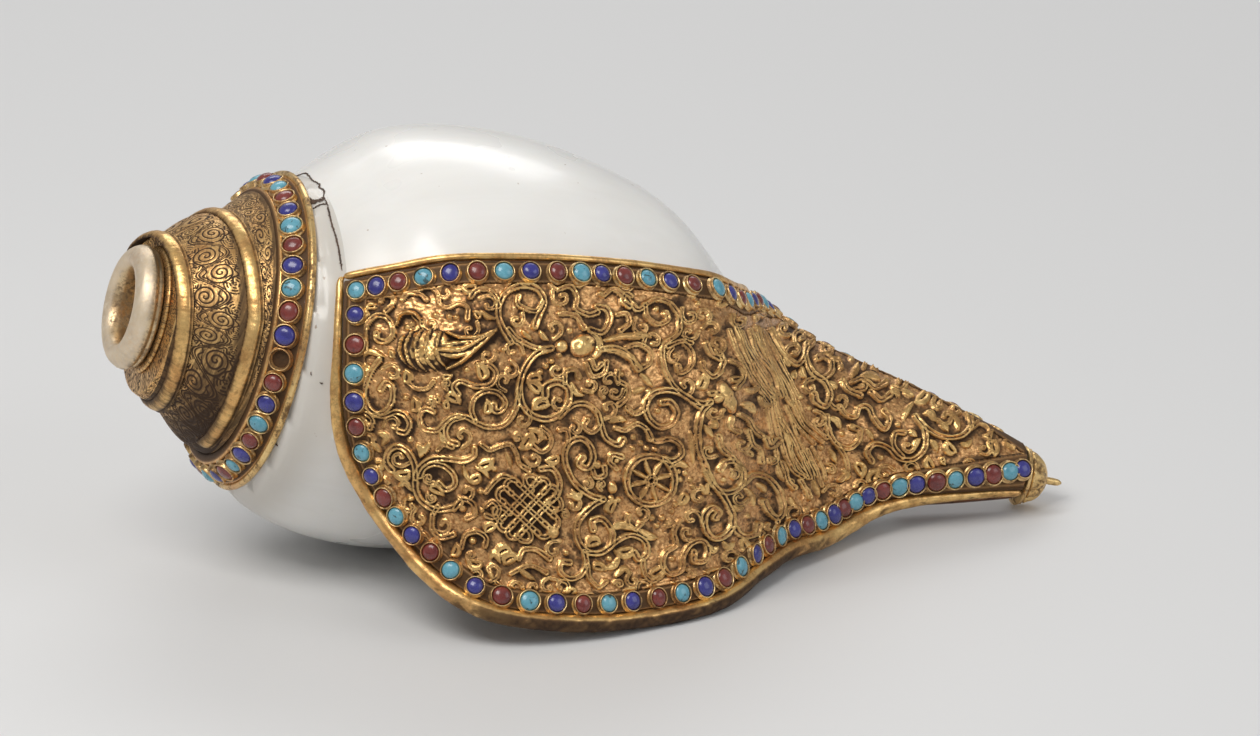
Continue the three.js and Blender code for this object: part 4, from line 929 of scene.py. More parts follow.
def fill_ground(relief, random):
    """Small curls, lobed leaves and beads wherever the drawn ornament leaves room."""
    for least, room, tries, most in ((5.6, 6.5, 3000, 0.1), (3.2, 4.4, 1300, 0.05)):
        for _ in range(tries):
            x = random.uniform(RELIEF_FROM[0] + 8, RELIEF_TO[0] - 8)
            y = random.uniform(RELIEF_FROM[1] + 8, RELIEF_TO[1] - 8)
            i, j = int((y - RELIEF_FROM[1]) * RASTER), int((x - RELIEF_FROM[0]) * RASTER)
            reach = int(room * RASTER)
            if relief.height[max(i - reach, 0):i + reach, max(j - reach, 0):j + reach].mean() > most:
                continue
            turn, size = random.uniform(0, math.tau), random.uniform(least, least * 1.35)
            hand = random.choice((-1, 1))
            curl = [(x + size * share * math.cos(turn + hand * a), y + size * share * math.sin(turn + hand * a))
                    for share, a in ((1.5, 0.0), (1.15, 0.9), (1.0, 1.9), (0.85, 3.0), (0.6, 4.2), (0.3, 5.3))]
            kind = random.random()
            if kind < 0.55:
                relief.stem(1.9, curl, 1.0)
            elif kind < 0.85:
                relief.leaf(size * 0.5, curl[:4], 1.0)
                relief.leaf(size * 0.36, [curl[3], (x, y), curl[0]], 0.9)
            else:
                relief.boss(x, y, 3.2, 3.2, 0, 1.3)


def draw_relief():
    relief = Relief()
    random = np.random.default_rng(7)
    for half, points in CONCH_BODY:
        relief.leaf(half, points, 2.2)
    relief.boss(*CONCH_WHORL, height=1.9)
    for points in CONCH_RIBS:
        relief.leaf(2.4, points, 2.5)
    for half, points in STEMS:
        relief.stem(half, points)
    for half, points in LEAVES:
        relief.leaf(half, points)
    for boss in BOSSES:
        relief.boss(*boss)
    for path in FOLDS:
        for shift in (-5.5, 0.0, 5.0):
            wobble = random.normal(size=(len(path), 2)) * 1.6 + (shift, -shift * 0.4)
            relief.stem(random.uniform(1.4, 2.1), np.array(path, float) + wobble, random.uniform(0.65, 1.0))
    draw_wheel(relief)
    draw_knot(relief)
    fill_ground(relief, random)
    shape = relief.height.shape
    lumps = soft_noise(shape, 9, random) * 0.06 + soft_noise(shape, 4, random) * 0.05
    pits = np.clip(soft_noise(shape, 3, random) - 0.7, 0, 1) * 0.16
    uneven = 1 + 0.16 * soft_noise(shape, 14, random)
    relief.height = relief.height * uneven + lumps * np.exp(-relief.height * 1.4) - pits
    # Painted shade: the hollows beside and between the raised work and the grooves down the stems are marked darker,
    # with a slow random unevenness over all.
    groove = np.clip(blurred(relief.height, 4) - relief.height, 0, 1) * (blurred(relief.height, 4) > 0.4)
    relief.hollow = np.clip(0.12 + 1.1 * (blurred(relief.height, int(5 * RASTER)) - relief.height) + 3.2 * groove
                            + 0.16 * soft_noise(shape, 30, random), 0, 1).astype(np.float32)
    return relief


# The apron's margin, measured square to its edges
PROBE = 0.02
MARGIN_STEP = 0.004
INSET = 3.3
BORDER_WIDTH = 5.4
BORDER_LIFT = PLATE_LIFT + PLATE_THICK + 0.4


def inset_share(inset, spot, inward, beside):
    """The share of the sheet that an inset in millimetres takes up, square to the edge."""
    start = apron_point(*spot, 0)
    step = apron_point(*inward, 0) - start
    edge = apron_point(*beside, 0) - start
    edge /= np.linalg.norm(edge, axis=1)[:, None]
    reach = np.linalg.norm(step - edge * (step * edge).sum(1)[:, None], axis=1)
    return inset * PROBE / reach


def next_to(share):
    return np.where(share > 0.5, share - PROBE, share + PROBE)


def beside_left(q, inset):
    none = np.zeros_like(q)
    return inset_share(inset, (none, q), (none + PROBE, q), (none, next_to(q)))


def below_top(s, inset):
    none = np.zeros_like(s)
    return inset_share(inset, (s, none), (s, none + PROBE), (next_to(s), none))


def above_free(s, inset):
    one = np.ones_like(s)
    return inset_share(inset, (s, one), (s, one - PROBE), (next_to(s), one))


def margin_spot(t, inset):
    """Shares along and across the sheet for a share of the way round its margin."""
    t = np.asarray(t, float)
    zero, one = np.zeros(1), np.ones(1)
    top_corner, free_corner = beside_left(zero, inset), beside_left(one, inset)
    s_top = top_corner + (1 - top_corner) * (1 - np.clip(t / MARGIN_TOP, 0, 1))
    s_free = free_corner + (1 - free_corner) * np.clip((t - MARGIN_SIDE) / (1 - MARGIN_SIDE), 0, 1)
    down = np.clip((t - MARGIN_TOP) / (MARGIN_SIDE - MARGIN_TOP), 0, 1)
    q_from, q_to = below_top(top_corner, inset), 1 - above_free(free_corner, inset)
    q_left = q_from + (q_to - q_from) * down
    on_top, on_free = t < MARGIN_TOP, t > MARGIN_SIDE
    s = np.where(on_top, s_top, np.where(on_free, s_free, beside_left(q_left, inset)))
    q = np.where(on_top, below_top(s_top, inset), np.where(on_free, 1 - above_free(s_free, inset), q_left))
    return s, q


def margin_point(t, inset, lift):
    return apron_point(*margin_spot(t, inset), lift)


def unit(vectors):
    return vectors / np.linalg.norm(vectors, axis=-1, keepdims=True)


def square_to(vectors, axis):
    return unit(vectors - axis * (vectors * axis).sum(-1, keepdims=True))


def margin_frame(t, inset, lift):
    """A point at the margin with the ways outward and upward there."""
    point = margin_point(t, inset, lift)
    ahead = margin_point(np.minimum(t + MARGIN_STEP, 1), inset, lift)
    along = unit(ahead - margin_point(np.maximum(t - MARGIN_STEP, 0), inset, lift))
    out = square_to(point - margin_point(t, inset + 1.5, lift), along)
    return point, along, out, square_to(square_to(margin_point(t, inset, lift + 1) - point, along), out)


def wavy(t, size, seed):
    """A slow hand-made unevenness along a length, about -1 to 1."""
    phase = np.random.default_rng(seed).uniform(0, math.tau, 5)
    return sum(np.sin(t * size * (k + 1) ** 1.4 + phase[k]) / (k + 1.5) for k in range(5)) / 1.6


# The apron's sheet, worked in relief, in panels that meet edge to edge
def apron_panel(name, low, high, relief, steps_u=190, steps_v=360):
    front_share = 0.93

    def place(u, v):
        s = low + (high - low) * u
        front = v <= front_share
        q = np.where(front, v / front_share, (1 - v) / (1 - front_share))
        surface = apron_point(s, q, PLATE_LIFT + PLATE_THICK)
        step_s, step_q = np.where(s < 0.5, 4e-3, -4e-3), np.where(q < 0.5, 4e-3, -4e-3)
        du = (apron_point(s + step_s, q, PLATE_LIFT + PLATE_THICK) - surface) / step_s[:, None]
        dv = (apron_point(s, q + step_q, PLATE_LIFT + PLATE_THICK) - surface) / step_q[:, None]
        normal = unit(np.cross(dv, du))
        x, y = to_photo(surface)
        inset = np.minimum.reduce([q / below_top(s, 1.0), (1 - q) / above_free(s, 1.0), s / beside_left(q, 1.0)])
        open_ground = smoothstep(inset, 5.0, 6.4)
        height = relief.at(relief.height, x, y) * open_ground
        height = height + 0.35 * np.exp(-((inset - 6.1) / 0.55) ** 2)
        # Painted shade as well as soiling: the relief's darkened hollows carry over, the margin under the border is
        # darker, and the back faces are dark.
        hollow = relief.at(relief.hollow, x, y) * open_ground + 0.62 * (1 - open_ground)
        shine = relief.at(relief.shine, x, y) * open_ground
        thick = PLATE_THICK * np.where(front, 0.0, np.minimum(np.clip(s / 0.004, 0, 1), np.clip((1 - s) / 0.004, 0, 1)))
        edge = np.clip(np.minimum(q, 1 - q) / 0.004, 0, 1)
        points = surface + normal * np.where(front, height * np.clip(edge * 1.0, 0, 1), -thick * np.clip(edge, 0.0, 1))[
            :, None]
        return points, {"hollow": np.where(front, hollow, 0.8), "shine": np.where(front, shine, 0.0)}

    return laid_sheet(name, steps_u, steps_v, place, wrap=True)


def sheet_on_shell(name, lift, thick, from_s, steps_u, steps_v):
    """A plain closed sheet behind the relief."""
    def place(u, v):
        front = v <= 0.5
        q = np.where(front, v * 2, 2 - v * 2)
        s = from_s + (1 - from_s) * u
        ends = np.clip(np.minimum(u, 1 - u) / 0.01, 0, 1) * np.clip(np.minimum(q, 1 - q) / 0.02, 0, 1)
        return apron_point(s, q, lift + thick * 0.5 + np.where(front, 0.5, -0.5) * thick * np.sqrt(ends))

    return laid_sheet(name, steps_u, steps_v, place, wrap=True)


def tube(name, steps, sides, centre_and_frame, radius_at, values):
    """A rod along a path, its ends drawn in to a point so that it is closed."""
    def place(u, v):
        t = np.clip(u, 0, 1)
        a = math.tau * v
        centre, _, out, up_way = centre_and_frame(t)
        ends = np.sqrt(np.clip(1 - (1 - np.clip(np.minimum(t, 1 - t) / 0.006, 0, 1)) ** 2, 0, 1))
        r = radius_at(t, a) * ends
        return centre + (out * np.cos(a)[:, None] + up_way * np.sin(a)[:, None]) * r[:, None], values(t, a)

    return laid_sheet(name, steps, sides, place, wrap=True)


def rim_radius(t):
    grown, shrunk = smoothstep(t, MARGIN_TOP, MARGIN_SIDE), smoothstep(t, 0.86, 1)
    return 0.9 + 1.2 * grown * (1 - shrunk)


def rod_frame(share_to_t, radius_of):
    def frame_at(u):
        t = share_to_t(u)
        edge, along, out, up_way = margin_frame(t, 0.0, PLATE_LIFT + PLATE_THICK * 0.5)
        return edge + out * (radius_of(t) + 0.1)[:, None], along, out, up_way
    return frame_at


def rim_roll():
    to_t = lambda u: MARGIN_TOP - 0.001 + (1.001 - MARGIN_TOP) * u
    dented = lambda u, a: rim_radius(to_t(u)) * (1.06 + 0.05 * wavy(u, 60, 3) + 0.03 * wavy(u * 3 + a, 25, 4))

    def worn(u, a):
        # Painted shade: along the free edge the outer side of the roll is darker and less bright; the patches along it
        # are wear.
        low = smoothstep(to_t(u), 0.56, 0.66) * smoothstep(np.cos(a - 0.35), -0.12, 0.4)
        low = low * (1 - 0.7 * smoothstep(to_t(u), 0.8, 0.88))
        patches = wavy(u + 0.012 * np.sin(a * 2 + u * 90), 70, 13) * wavy(u * 0.7 + 0.01 * np.cos(a), 90, 17)
        return {"hollow": 0.16 + 0.54 * low + 0.34 * patches, "shine": 0.75 - 0.5 * low}

    return tube("rim_roll", 900, 28, rod_frame(to_t, rim_radius), dented, worn)


def top_fillet():
    to_t = lambda u: 0.015 + 0.4045 * u
    size = lambda t: np.full_like(t, 1.15)
    uneven = lambda u, a: 1.0 + 0.05 * wavy(u, 50, 5)
    worn = lambda u, a: {"hollow": 0.1 + 0.1 * wavy(u * 3, 60, 14), "shine": 0.7 + 0 * u}
    return tube("top_fillet", 420, 20, rod_frame(to_t, size), uneven, worn)


def border_strip():
    """The ground that the collets stand on, with a small bead along each side."""
    def place(u, v):
        top = v <= 0.5
        across = np.where(top, v * 2, 2 - v * 2)
        inset = INSET + (0.5 - across) * BORDER_WIDTH
        bead = 0.35 * (np.exp(-((across - 0.06) / 0.05) ** 2) + np.exp(-((across - 0.94) / 0.05) ** 2))
        rough = 0.05 * wavy(u * 40 + across, 20, 6)
        edge = np.clip(np.minimum(across, 1 - across) / 0.03, 0, 1)
        ends = np.clip(np.minimum(u, 1 - u) / 0.002, 0, 1)
        lift = BORDER_LIFT + np.where(top, 0.25 + bead + rough, -0.15) * np.sqrt(edge * ends)
        s, q = margin_spot(u, INSET)
        s_in, q_in = margin_spot(u, INSET - BORDER_WIDTH / 2)
        s_out, q_out = margin_spot(u, INSET + BORDER_WIDTH / 2)
        w = (inset - INSET) / (BORDER_WIDTH / 2)
        ds = np.where(w < 0, (s - s_in), (s_out - s)) * w
        dq = np.where(w < 0, (q - q_in), (q_out - q)) * w
        # The ground between the beads is darker, painted shade as well as soiling; the beads are bright gold, partly a
        # painted highlight.
        return apron_point(s + ds, q + dq, lift), {"hollow": np.where(top, 0.62 - bead, 0.8), "shine": bead}

    return laid_sheet("border_strip", 1400, 20, place, wrap=True)


# The border's stones as the photograph shows them, in its pixels: along the top, then down the left and along the bottom.
TOP_STONES = [(785, 330), (760, 320), (735, 303), (713, 294), (690, 287), (667, 285), (645, 282), (622, 280), (600, 278),
              (580, 277), (557, 276), (531, 275), (505, 274), (479, 274), (453, 276), (427, 277), (402, 282), (380, 284)]
SIDE_STONES = [(358, 290), (357, 316), (355, 345), (354, 373), (355, 401), (360, 425), (366, 450), (374, 474), (387, 496),
               (398, 515), (413, 535), (434, 549), (455, 565), (479, 579), (504, 588), (530, 596), (556, 602), (582, 603),
               (607, 603), (631, 602), (656, 596), (679, 588), (700, 579), (717, 570), (735, 563), (752, 552), (765, 545),
               (778, 537), (790, 528), (803, 520), (815, 513), (826, 505), (836, 497), (848, 491), (862, 485), (879, 480),
               (897, 475), (915, 473), (935, 468), (954, 464), (974, 459), (991, 454), (1007, 447), (1020, 440)]
STONE_SPACING = 5.9
FIRST_STONE = 0.015
TUCKED_BACK = 1.2
TUCKED_DOWN = 1.25
TUCKED_OVER = 0.04


def border_places():
    """The stones' places round the margin, from the tip along the top to the tip along the free edge."""
    t = np.linspace(0.001, 0.999, 6000)
    x, y = to_photo(margin_point(t, INSET, BORDER_LIFT))
    nearest = lambda px, low, high: (lambda inside: inside[np.argmin((x[inside] - px[0]) ** 2 + (y[inside] - px[1]) ** 2)])(
        np.nonzero((t >= low) & (t <= high))[0])
    top = sorted(t[nearest(p, 0.02, MARGIN_TOP)] for p in TOP_STONES)
    side = [t[nearest(p, MARGIN_TOP - 0.01, 0.999)] for p in SIDE_STONES]
    behind = np.linspace(FIRST_STONE, MARGIN_TOP, 1200)
    run = np.linalg.norm(np.diff(margin_point(behind, INSET, BORDER_LIFT), axis=0), axis=1)
    length = np.concatenate([[0], np.cumsum(run)])
    between = []
    for low, high in zip([FIRST_STONE] + top[:-1], top):
        ends = np.interp([low, high], behind, length)
        stones = max(1, round((ends[1] - ends[0]) / STONE_SPACING))
        between += list(np.interp(np.linspace(*ends, stones + 1)[:-1], length, behind))
    places = np.array(sorted(between + top[-1:] + side))
    return places, 1 - smoothstep(places, top[0] - TUCKED_OVER, top[0])


# Collets and stones, spun once and then stood on their places
def spun(name, profile, steps):
    """A turned shape from (radius, height) points in millimetres, its axis upright."""
    work = bmesh.new()
    verts = [work.verts.new((radius, 0, height)) for radius, height in profile]
    edges = [work.edges.new((a, b)) for a, b in zip(verts[:-1], verts[1:])]
    bmesh.ops.spin(work, geom=verts + edges, cent=(0, 0, 0), axis=(0, 0, 1), angle=math.tau, steps=steps, use_merge=True)
    bmesh.ops.remove_doubles(work, verts=work.verts, dist=1e-5)
    return finished(work, name)


def stood(pattern, name, placings):
    """One mesh with a copy of the pattern at every placing: (size, oval, turn, (point, along, out, up))."""
    work = bmesh.new()
    for _ in placings:
        work.from_mesh(pattern)
    mesh = bpy.data.meshes.new(name)
    work.to_mesh(mesh)
    work.free()
    shape = np.empty(len(pattern.vertices) * 3, np.float32)
    pattern.vertices.foreach_get("co", shape)
    shape = shape.reshape(-1, 3).astype(float)
    runs = []
    for size, height, oval, turn, (point, along, out, up_way) in placings:
        x, y = shape[:, 0] * size * oval[0], shape[:, 1] * size * oval[1]
        c, s = math.cos(turn), math.sin(turn)
        x, y = x * c - y * s, x * s + y * c
        runs.append(point + np.outer(x, along) + np.outer(y, out) + np.outer(shape[:, 2] * height, up_way))
    mesh.vertices.foreach_set("co", (np.concatenate(runs) * 0.001).astype(np.float32).ravel())
    mesh.update()
    shade_smooth(mesh)
    return mesh


COLLET = [(2.05, -0.3), (2.85, -0.3), (3.05, 0.0), (3.0, 0.28), (2.72, 0.42), (2.66, 1.0), (2.7, 1.45), (2.6, 1.62),
          (2.42, 1.6), (2.34, 1.2), (2.3, 0.5), (2.05, 0.4)]
CABOCHON_STEPS = 7


def cabochon(radius, height):
    rise = [math.pi / 2 * i / CABOCHON_STEPS for i in range(CABOCHON_STEPS + 1)]
    dome = [(radius * math.cos(a) ** 0.8, 0.7 + height * math.sin(a)) for a in rise[:-1]]
    return [(0.0, 0.2), (radius, 0.2)] + dome + [(0.0, 0.7 + height)]


def finished(work, name):
    bmesh.ops.recalc_face_normals(work, faces=work.faces)
    mesh = bpy.data.meshes.new(name)
    work.to_mesh(mesh)
    work.free()
    shade_smooth(mesh)
    return mesh


def set_stones(name, places, colours, scale, seed, empty=()):
    """Every stone of one border in its collet: one mesh of collets and one for each colour."""
    random = np.random.default_rng(seed)
    cup = spun("collet", COLLET + COLLET[:1], 22)
    gem = spun("cabochon", cabochon(2.33, 1.5), 20)
    cups, gems = [], ([], [], [])
    for i, (point, along, out, up_way) in enumerate(places):
        size = scale * random.uniform(0.94, 1.06)
        oval = (random.uniform(0.92, 1.03), random.uniform(0.95, 1.06))
        turn = random.uniform(-0.25, 0.25)
        cups.append((size, scale, oval, turn, (point, along, out, up_way)))
        tilt = unit(up_way + along * random.uniform(-0.08, 0.08) + out * random.uniform(-0.08, 0.08))
        if i not in empty:
            gems[colours[i]].append((size, scale * random.uniform(0.88, 1.12), oval, turn,
                                     (point, square_to(along, tilt), square_to(out, tilt), tilt)))
    return stood(cup, name + "_collets", cups), [stood(gem, name + "_stones", chosen) for chosen in gems]


# The cap, which follows the spiral of the spire it was raised over
SHEET_FROM = 7.8
SHEET_THICK = 0.8
RING_INNER = 15.4
EDGE_RIM_AT = 35.45
EDGE_RIM_RADIUS = 0.95
CAP_STONES = 39
EMPTY_PLACE = 9
EMPTY_NODE = 15
MOULDING_TURNS = (-0.15, 1.42)
MOULDING_WIDTH = 3.4
MOULDING_HEIGHT = 1.1
SCROLL_SIZE = 7.0


def cone_radius(along):
    return SPIRAL_RADIUS / SPIRAL_STATION * (along + APEX_BEYOND)


def turns_out(along, angle):
    return np.log((along + APEX_BEYOND) / SPIRAL_STATION) / math.log(GROWTH) - angle / 360


def cap_relief(along, angle):
    return 1 - 0.035 - 0.03 * np.cos(math.tau * (turns_out(along, angle) - 0.12))


def drawn_line(away, half):
    return np.exp(-(away / half) ** 2)


def engraved_vine(a, b, stretch, pitch=0.1):
    """A vine with a coil in each bend, in fine lines: a runs along it in repeats, b is 0 to 1 across it."""
    b = b + 0.05 * np.sin(math.tau * a * 0.5 + 1) * np.sin(math.pi * b)
    cell = a - np.floor(a)
    vine = b - 0.5 - 0.3 * np.sin(math.tau * a)
    marks = np.maximum(drawn_line(vine - 0.03, 0.014), drawn_line(vine + 0.03, 0.014))
    for ca, cb, hand in ((0.25, 0.36, 1), (0.75, 0.64, -1)):
        dx, dy = (cell - ca) * stretch, b - cb
        away, around = np.hypot(dx, dy), np.arctan2(dy, dx) / math.tau * hand
        coil = away / pitch - around
        marks = np.maximum(marks, (away < 0.27) * drawn_line(coil - np.floor(coil) - 0.5, 0.13))
        petals = away - 0.3 - 0.035 * np.cos(math.tau * around * 9)
        marks = np.maximum(marks, (np.abs(vine) > 0.06) * drawn_line(petals, 0.014))
    for ca, cb in ((0.0, 0.08), (0.0, 0.9), (0.5, 0.1), (0.5, 0.92)):
        dx, dy = ((cell - ca + 0.5) % 1 - 0.5) * stretch, b - cb
        away, around = np.hypot(dx, dy), np.arctan2(dy, dx)
        fan = away / 0.055
        marks = np.maximum(marks, (away < 0.2) * (np.cos(around * 5) > -0.4) * drawn_line(fan - np.floor(fan) - 0.5, 0.16))
    return marks


def moulding_station(turn):
    angle, grown = np.radians(turn * 360), GROWTH ** turn
    return SPIRAL_STATION * grown - APEX_BEYOND + SPIRAL_RADIUS * grown * (LEAN_FRONT * np.sin(angle)
                                                                         - LEAN_UP * np.cos(angle))


def sheet_front(angle):
    """Where the sheet begins: it runs forward to meet the start of the moulding."""
    turn = np.where(angle > 180, angle - 360, angle) / 360
    met = smoothstep(turn, -0.2, -0.13) * (1 - smoothstep(turn, -0.03, 0.04))
    return SHEET_FROM - np.maximum(SHEET_FROM - moulding_station(turn) - 0.6, 0) * met


def cap_sheet(name, low, high):
    path_at = [0, 0.07, 0.95, 0.965, 1]

    def place(u, v):
        angle = (low + (high - low) * u) * 360
        along = np.interp(v, path_at, [7.2, SHEET_FROM, CAP_ENDS, CAP_ENDS, 7.2])
        along = along - (SHEET_FROM - sheet_front(angle)) * np.interp(v, [0, path_at[1], 0.5, 1], [0, 1, 0, 0])
        cone = cone_radius(along) * cap_relief(along, angle)
        ring = v < path_at[1]
        outer = (v >= path_at[1]) & (v <= path_at[2])
        start_at = sheet_front(angle)
        start = cone_radius(start_at) * cap_relief(start_at, angle)
        across_ring = np.clip(v / path_at[1], 0, 1)
        radius = np.where(ring, RING_INNER + (start - RING_INNER) * across_ring,
                          np.where(outer, cone, cone - SHEET_THICK))
        radius = np.where(v > 0.99, RING_INNER + (radius - RING_INNER) * np.clip((1 - v) / 0.01, 0, 1), radius)
        turned = turns_out(along, angle)
        across, last = turned % 1.0, turned >= 1.0
        ends = turns_out(CAP_ENDS + 0 * along, angle) - np.floor(turned)
        width = np.clip(np.minimum(0.74, ends - 0.17), 0.12, 1)
        b = np.clip((across - 0.14) / width, 0, 1)
        share = angle / 360 + 0.006 * np.sin(math.tau * angle / 72) + 0.004 * np.sin(math.tau * angle / 40)
        vine = np.where(last, engraved_vine(share * 18, b, 1.2, 0.17), engraved_vine(share * 14, b, 1.05))
        vine = vine * smoothstep(across, 0.125, 0.15) * smoothstep(1 - b, 0.0, 0.03)
        small = engraved_vine(share * 14, across_ring, 1.6, 0.2)
        begins = turns_out(start_at, angle)
        ahead = outer & (turned < 0)
        room = np.clip((turned - begins) / np.maximum(-0.13 - begins, 0.02), 0, 1)
        vine = np.where(ahead, engraved_vine(share * 11, room, 1.1, 0.16) * smoothstep(-0.13 - begins, 0.05, 0.12)
                        * smoothstep(1 - room, 0.0, 0.05), vine)
        cut = np.where(outer, vine, np.where(ring, small, 0.0))
        cut = cut * (0.7 + 0.3 * np.clip(wavy(share, 60, 5), 0, 1))
        moved = round_cap(along, angle, radius - np.where(outer, cut * 0.2, 0.0))
        # Darker towards the lower front of the cap, with painted shade along both edges of the band where the moulding
        # and the jewel band rise beside it, and a slow random unevenness; the engraved lines are dark.
        below = np.exp(-((angle - 140) / 46) ** 2) * smoothstep(b, -0.2, 0.8)
        beside = 0.7 * np.exp(-(b / 0.07) ** 2) + np.exp(-((1 - b) / 0.05) ** 2)
        frieze_shade_and_dirt = 0.33 + 0.42 * below + 0.2 * beside + 0.13 * wavy(share * 3 + across, 40, 6)
        frieze_shade_and_dirt = np.where(ahead | ring, 0.3 + 0.12 * wavy(share * 3, 40, 6) + 0.35 * (room > 0.97) * ahead, frieze_shade_and_dirt)
        hollow = np.where(outer | ring, frieze_shade_and_dirt + 0.8 * cut, 0.7)
        return moved, {"hollow": np.clip(hollow, 0, 1), "shine": np.where(outer | ring, 0.44 - 0.35 * cut, 0.0)}

    return laid_sheet(name, 620, 158, place, wrap=True)


def spiral_moulding():
    """A rounded band with a fine line beside it, laid where one whorl of the spire meets the next."""
    def place(u, v):
        turn = MOULDING_TURNS[0] + (MOULDING_TURNS[1] - MOULDING_TURNS[0]) * u
        angle, grown = turn * 360, GROWTH ** turn
        top = v <= 0.8
        across = np.where(top, v / 0.8, (1 - v) / 0.2)
        lean = SPIRAL_RADIUS * grown * (LEAN_FRONT * np.sin(np.radians(angle)) - LEAN_UP * np.cos(np.radians(angle)))
        centre = np.minimum(SPIRAL_STATION * grown - APEX_BEYOND + lean, CAP_ENDS - MOULDING_WIDTH)
        along = centre + (across - 0.5) * MOULDING_WIDTH * 1.15
        band = np.sqrt(np.clip(1 - ((across - 0.42) / 0.43) ** 2, 0, 1))
        line = 0.5 * np.sqrt(np.clip(1 - ((across - 0.93) / 0.07) ** 2, 0, 1))
        ends = np.sqrt(np.clip(np.minimum(u, 1 - u) / 0.01, 0, 1))
        worn = 1 + 0.06 * wavy(u * 3, 60, 8)
        lift = np.where(top, 0.1 + np.maximum(band, line) * MOULDING_HEIGHT * 1.1 * worn, -0.25) * ends
        edge = np.where((across < 0.001) | (across > 0.999), 0, 1)
        radius = cone_radius(along) * cap_relief(along, angle) + np.where(edge > 0, lift, -0.1 * ends)
        # Darker beside the rounded band and its line with painted shade, and darker towards the lower front of the cap;
        # the band's crest is brighter, partly a painted highlight.
        return round_cap(along, angle, radius), {
            "hollow": np.where(top, 0.2 + 0.4 * (1 - np.maximum(band, line)) + 0.2 * np.exp(-((angle % 360 - 150) / 45) ** 2)
                               + 0.1 * wavy(u * 5, 60, 15), 0.8),
            "shine": np.where(top, 0.4 + 0.2 * band, 0.0)}

    return laid_sheet("spiral_moulding", 900, 40, place, wrap=True)


def ring_piece(name, section, steps_round, point_at, ribs=lambda angle, share: 1.0, spacing=0.35, values=None):
    """A turned piece from a closed run of (radius, station) points, smoothed."""
    closed = np.array(section, float)
    around = np.vstack([closed[-1:], closed, closed[:2]])
    runs = through([tuple(p) for p in around], spacing)
    starts = np.argmin(np.linalg.norm(runs - closed[0], axis=1))
    stops = len(runs) - 1 - np.argmin(np.linalg.norm(runs[::-1] - closed[0], axis=1))
    loop = runs[starts:stops + 1]
    loop[-1] = loop[0]

    def place(u, v):
        at = v * (len(loop) - 1)
        radius = np.interp(at, np.arange(len(loop)), loop[:, 0])
        station = np.interp(at, np.arange(len(loop)), loop[:, 1])
        points = point_at(station, u * 360, radius * ribs(u * 360, station))
        return (points, values(station, radius, u * 360)) if values else points

    return laid_sheet(name, steps_round, len(loop) - 1, place, wrap=True)


def mouthpiece_lip():
    section = [(9.0, 4.6), (9.1, 2.2), (9.9, 0.2), (11.4, -0.9), (13.1, -0.75), (14.6, 0.3), (15.5, 1.9), (15.75, 3.2),
               (15.3, 3.9), (15.0, 4.2), (15.1, 4.9), (14.6, 5.6), (13.0, 6.0), (11.2, 6.3), (10.3, 6.9), (9.9, 8.2),
               (9.3, 8.2), (9.05, 6.4)]
    dented = lambda angle, station: 1 + 0.006 * wavy(np.sin(np.radians(angle)) + 0.3 * station, 3, 9)
    face = lambda station, radius, angle: {"rubbed": (1 - smoothstep(station, 1.6, 3.4)) * smoothstep(radius, 9.4, 10.4)}
    return ring_piece("mouthpiece_lip", section, 240, round_cap, dented, values=face)


def neck_flange():
    section = [(10.9, 6.2), (14.0, 6.1), (15.4, 6.15), (16.0, 6.5), (16.05, 6.9), (15.6, 7.2), (14.0, 7.3), (10.9, 7.3)]

    def worked(station, radius, angle):
        scrolls = engraved_vine(angle / 360 * 24, np.clip((radius - 13.2) / 2.6, 0, 1), 1.2, 0.2)
        return {"hollow": 0.3 + 0.5 * scrolls + 0.1 * wavy(angle / 360, 50, 16), "shine": 0.5 - 0.4 * scrolls}

    return ring_piece("neck_flange", section, 720, round_cap, values=worked)


def blow_tube():
    section = [(9.3, 7.9), (8.9, 9.5), (6.6, 12.0), (5.2, 13.4), (5.0, 16.4), (5.6, 16.4), (5.8, 13.6), (7.2, 12.2),
               (9.5, 9.6), (9.9, 7.9)]
    return ring_piece("blow_tube", section, 96, round_cap)


def jewel_band():
    def place(u, v):
        outer = v <= 0.8
        share = np.where(outer, v / 0.8, (1 - v) / 0.2)
        along = CAP_ENDS - 0.1 + (EDGE_RIM_AT - CAP_ENDS) * np.clip((share - 0.06) / 0.94, 0, 1)
        bead = 0.4 * (np.exp(-((share - 0.12) / 0.045) ** 2) + np.exp(-((share - 0.95) / 0.045) ** 2))
        edge = np.sqrt(np.clip((1 - share) / 0.03, 0, 1))
        sheet = cone_radius(CAP_ENDS) * cap_relief(CAP_ENDS + 0 * along, u * 360) - 0.4
        full = cone_radius(along) - 0.45 + np.where(outer, 0.45 + bead, -0.45) * edge
        radius = sheet + (full - sheet) * np.clip(share / 0.06, 0, 1)
        # The ground between the beads is darker, painted shade as well as soiling; the beads are bright gold, partly a
        # painted highlight.
        return round_cap(along, u * 360, radius), {"hollow": np.where(outer, 0.66 - bead * 1.6, 0.8), "shine": bead}

    return laid_sheet("jewel_band", 720, 48, place, wrap=True)


def edge_rim():
    centre = cone_radius(EDGE_RIM_AT) + 0.5
    section = [(centre + EDGE_RIM_RADIUS * math.cos(a), EDGE_RIM_AT + EDGE_RIM_RADIUS * math.sin(a))
               for a in np.radians(range(0, 360, 45))]
    return ring_piece("edge_rim", section, 240, round_cap, spacing=0.25)


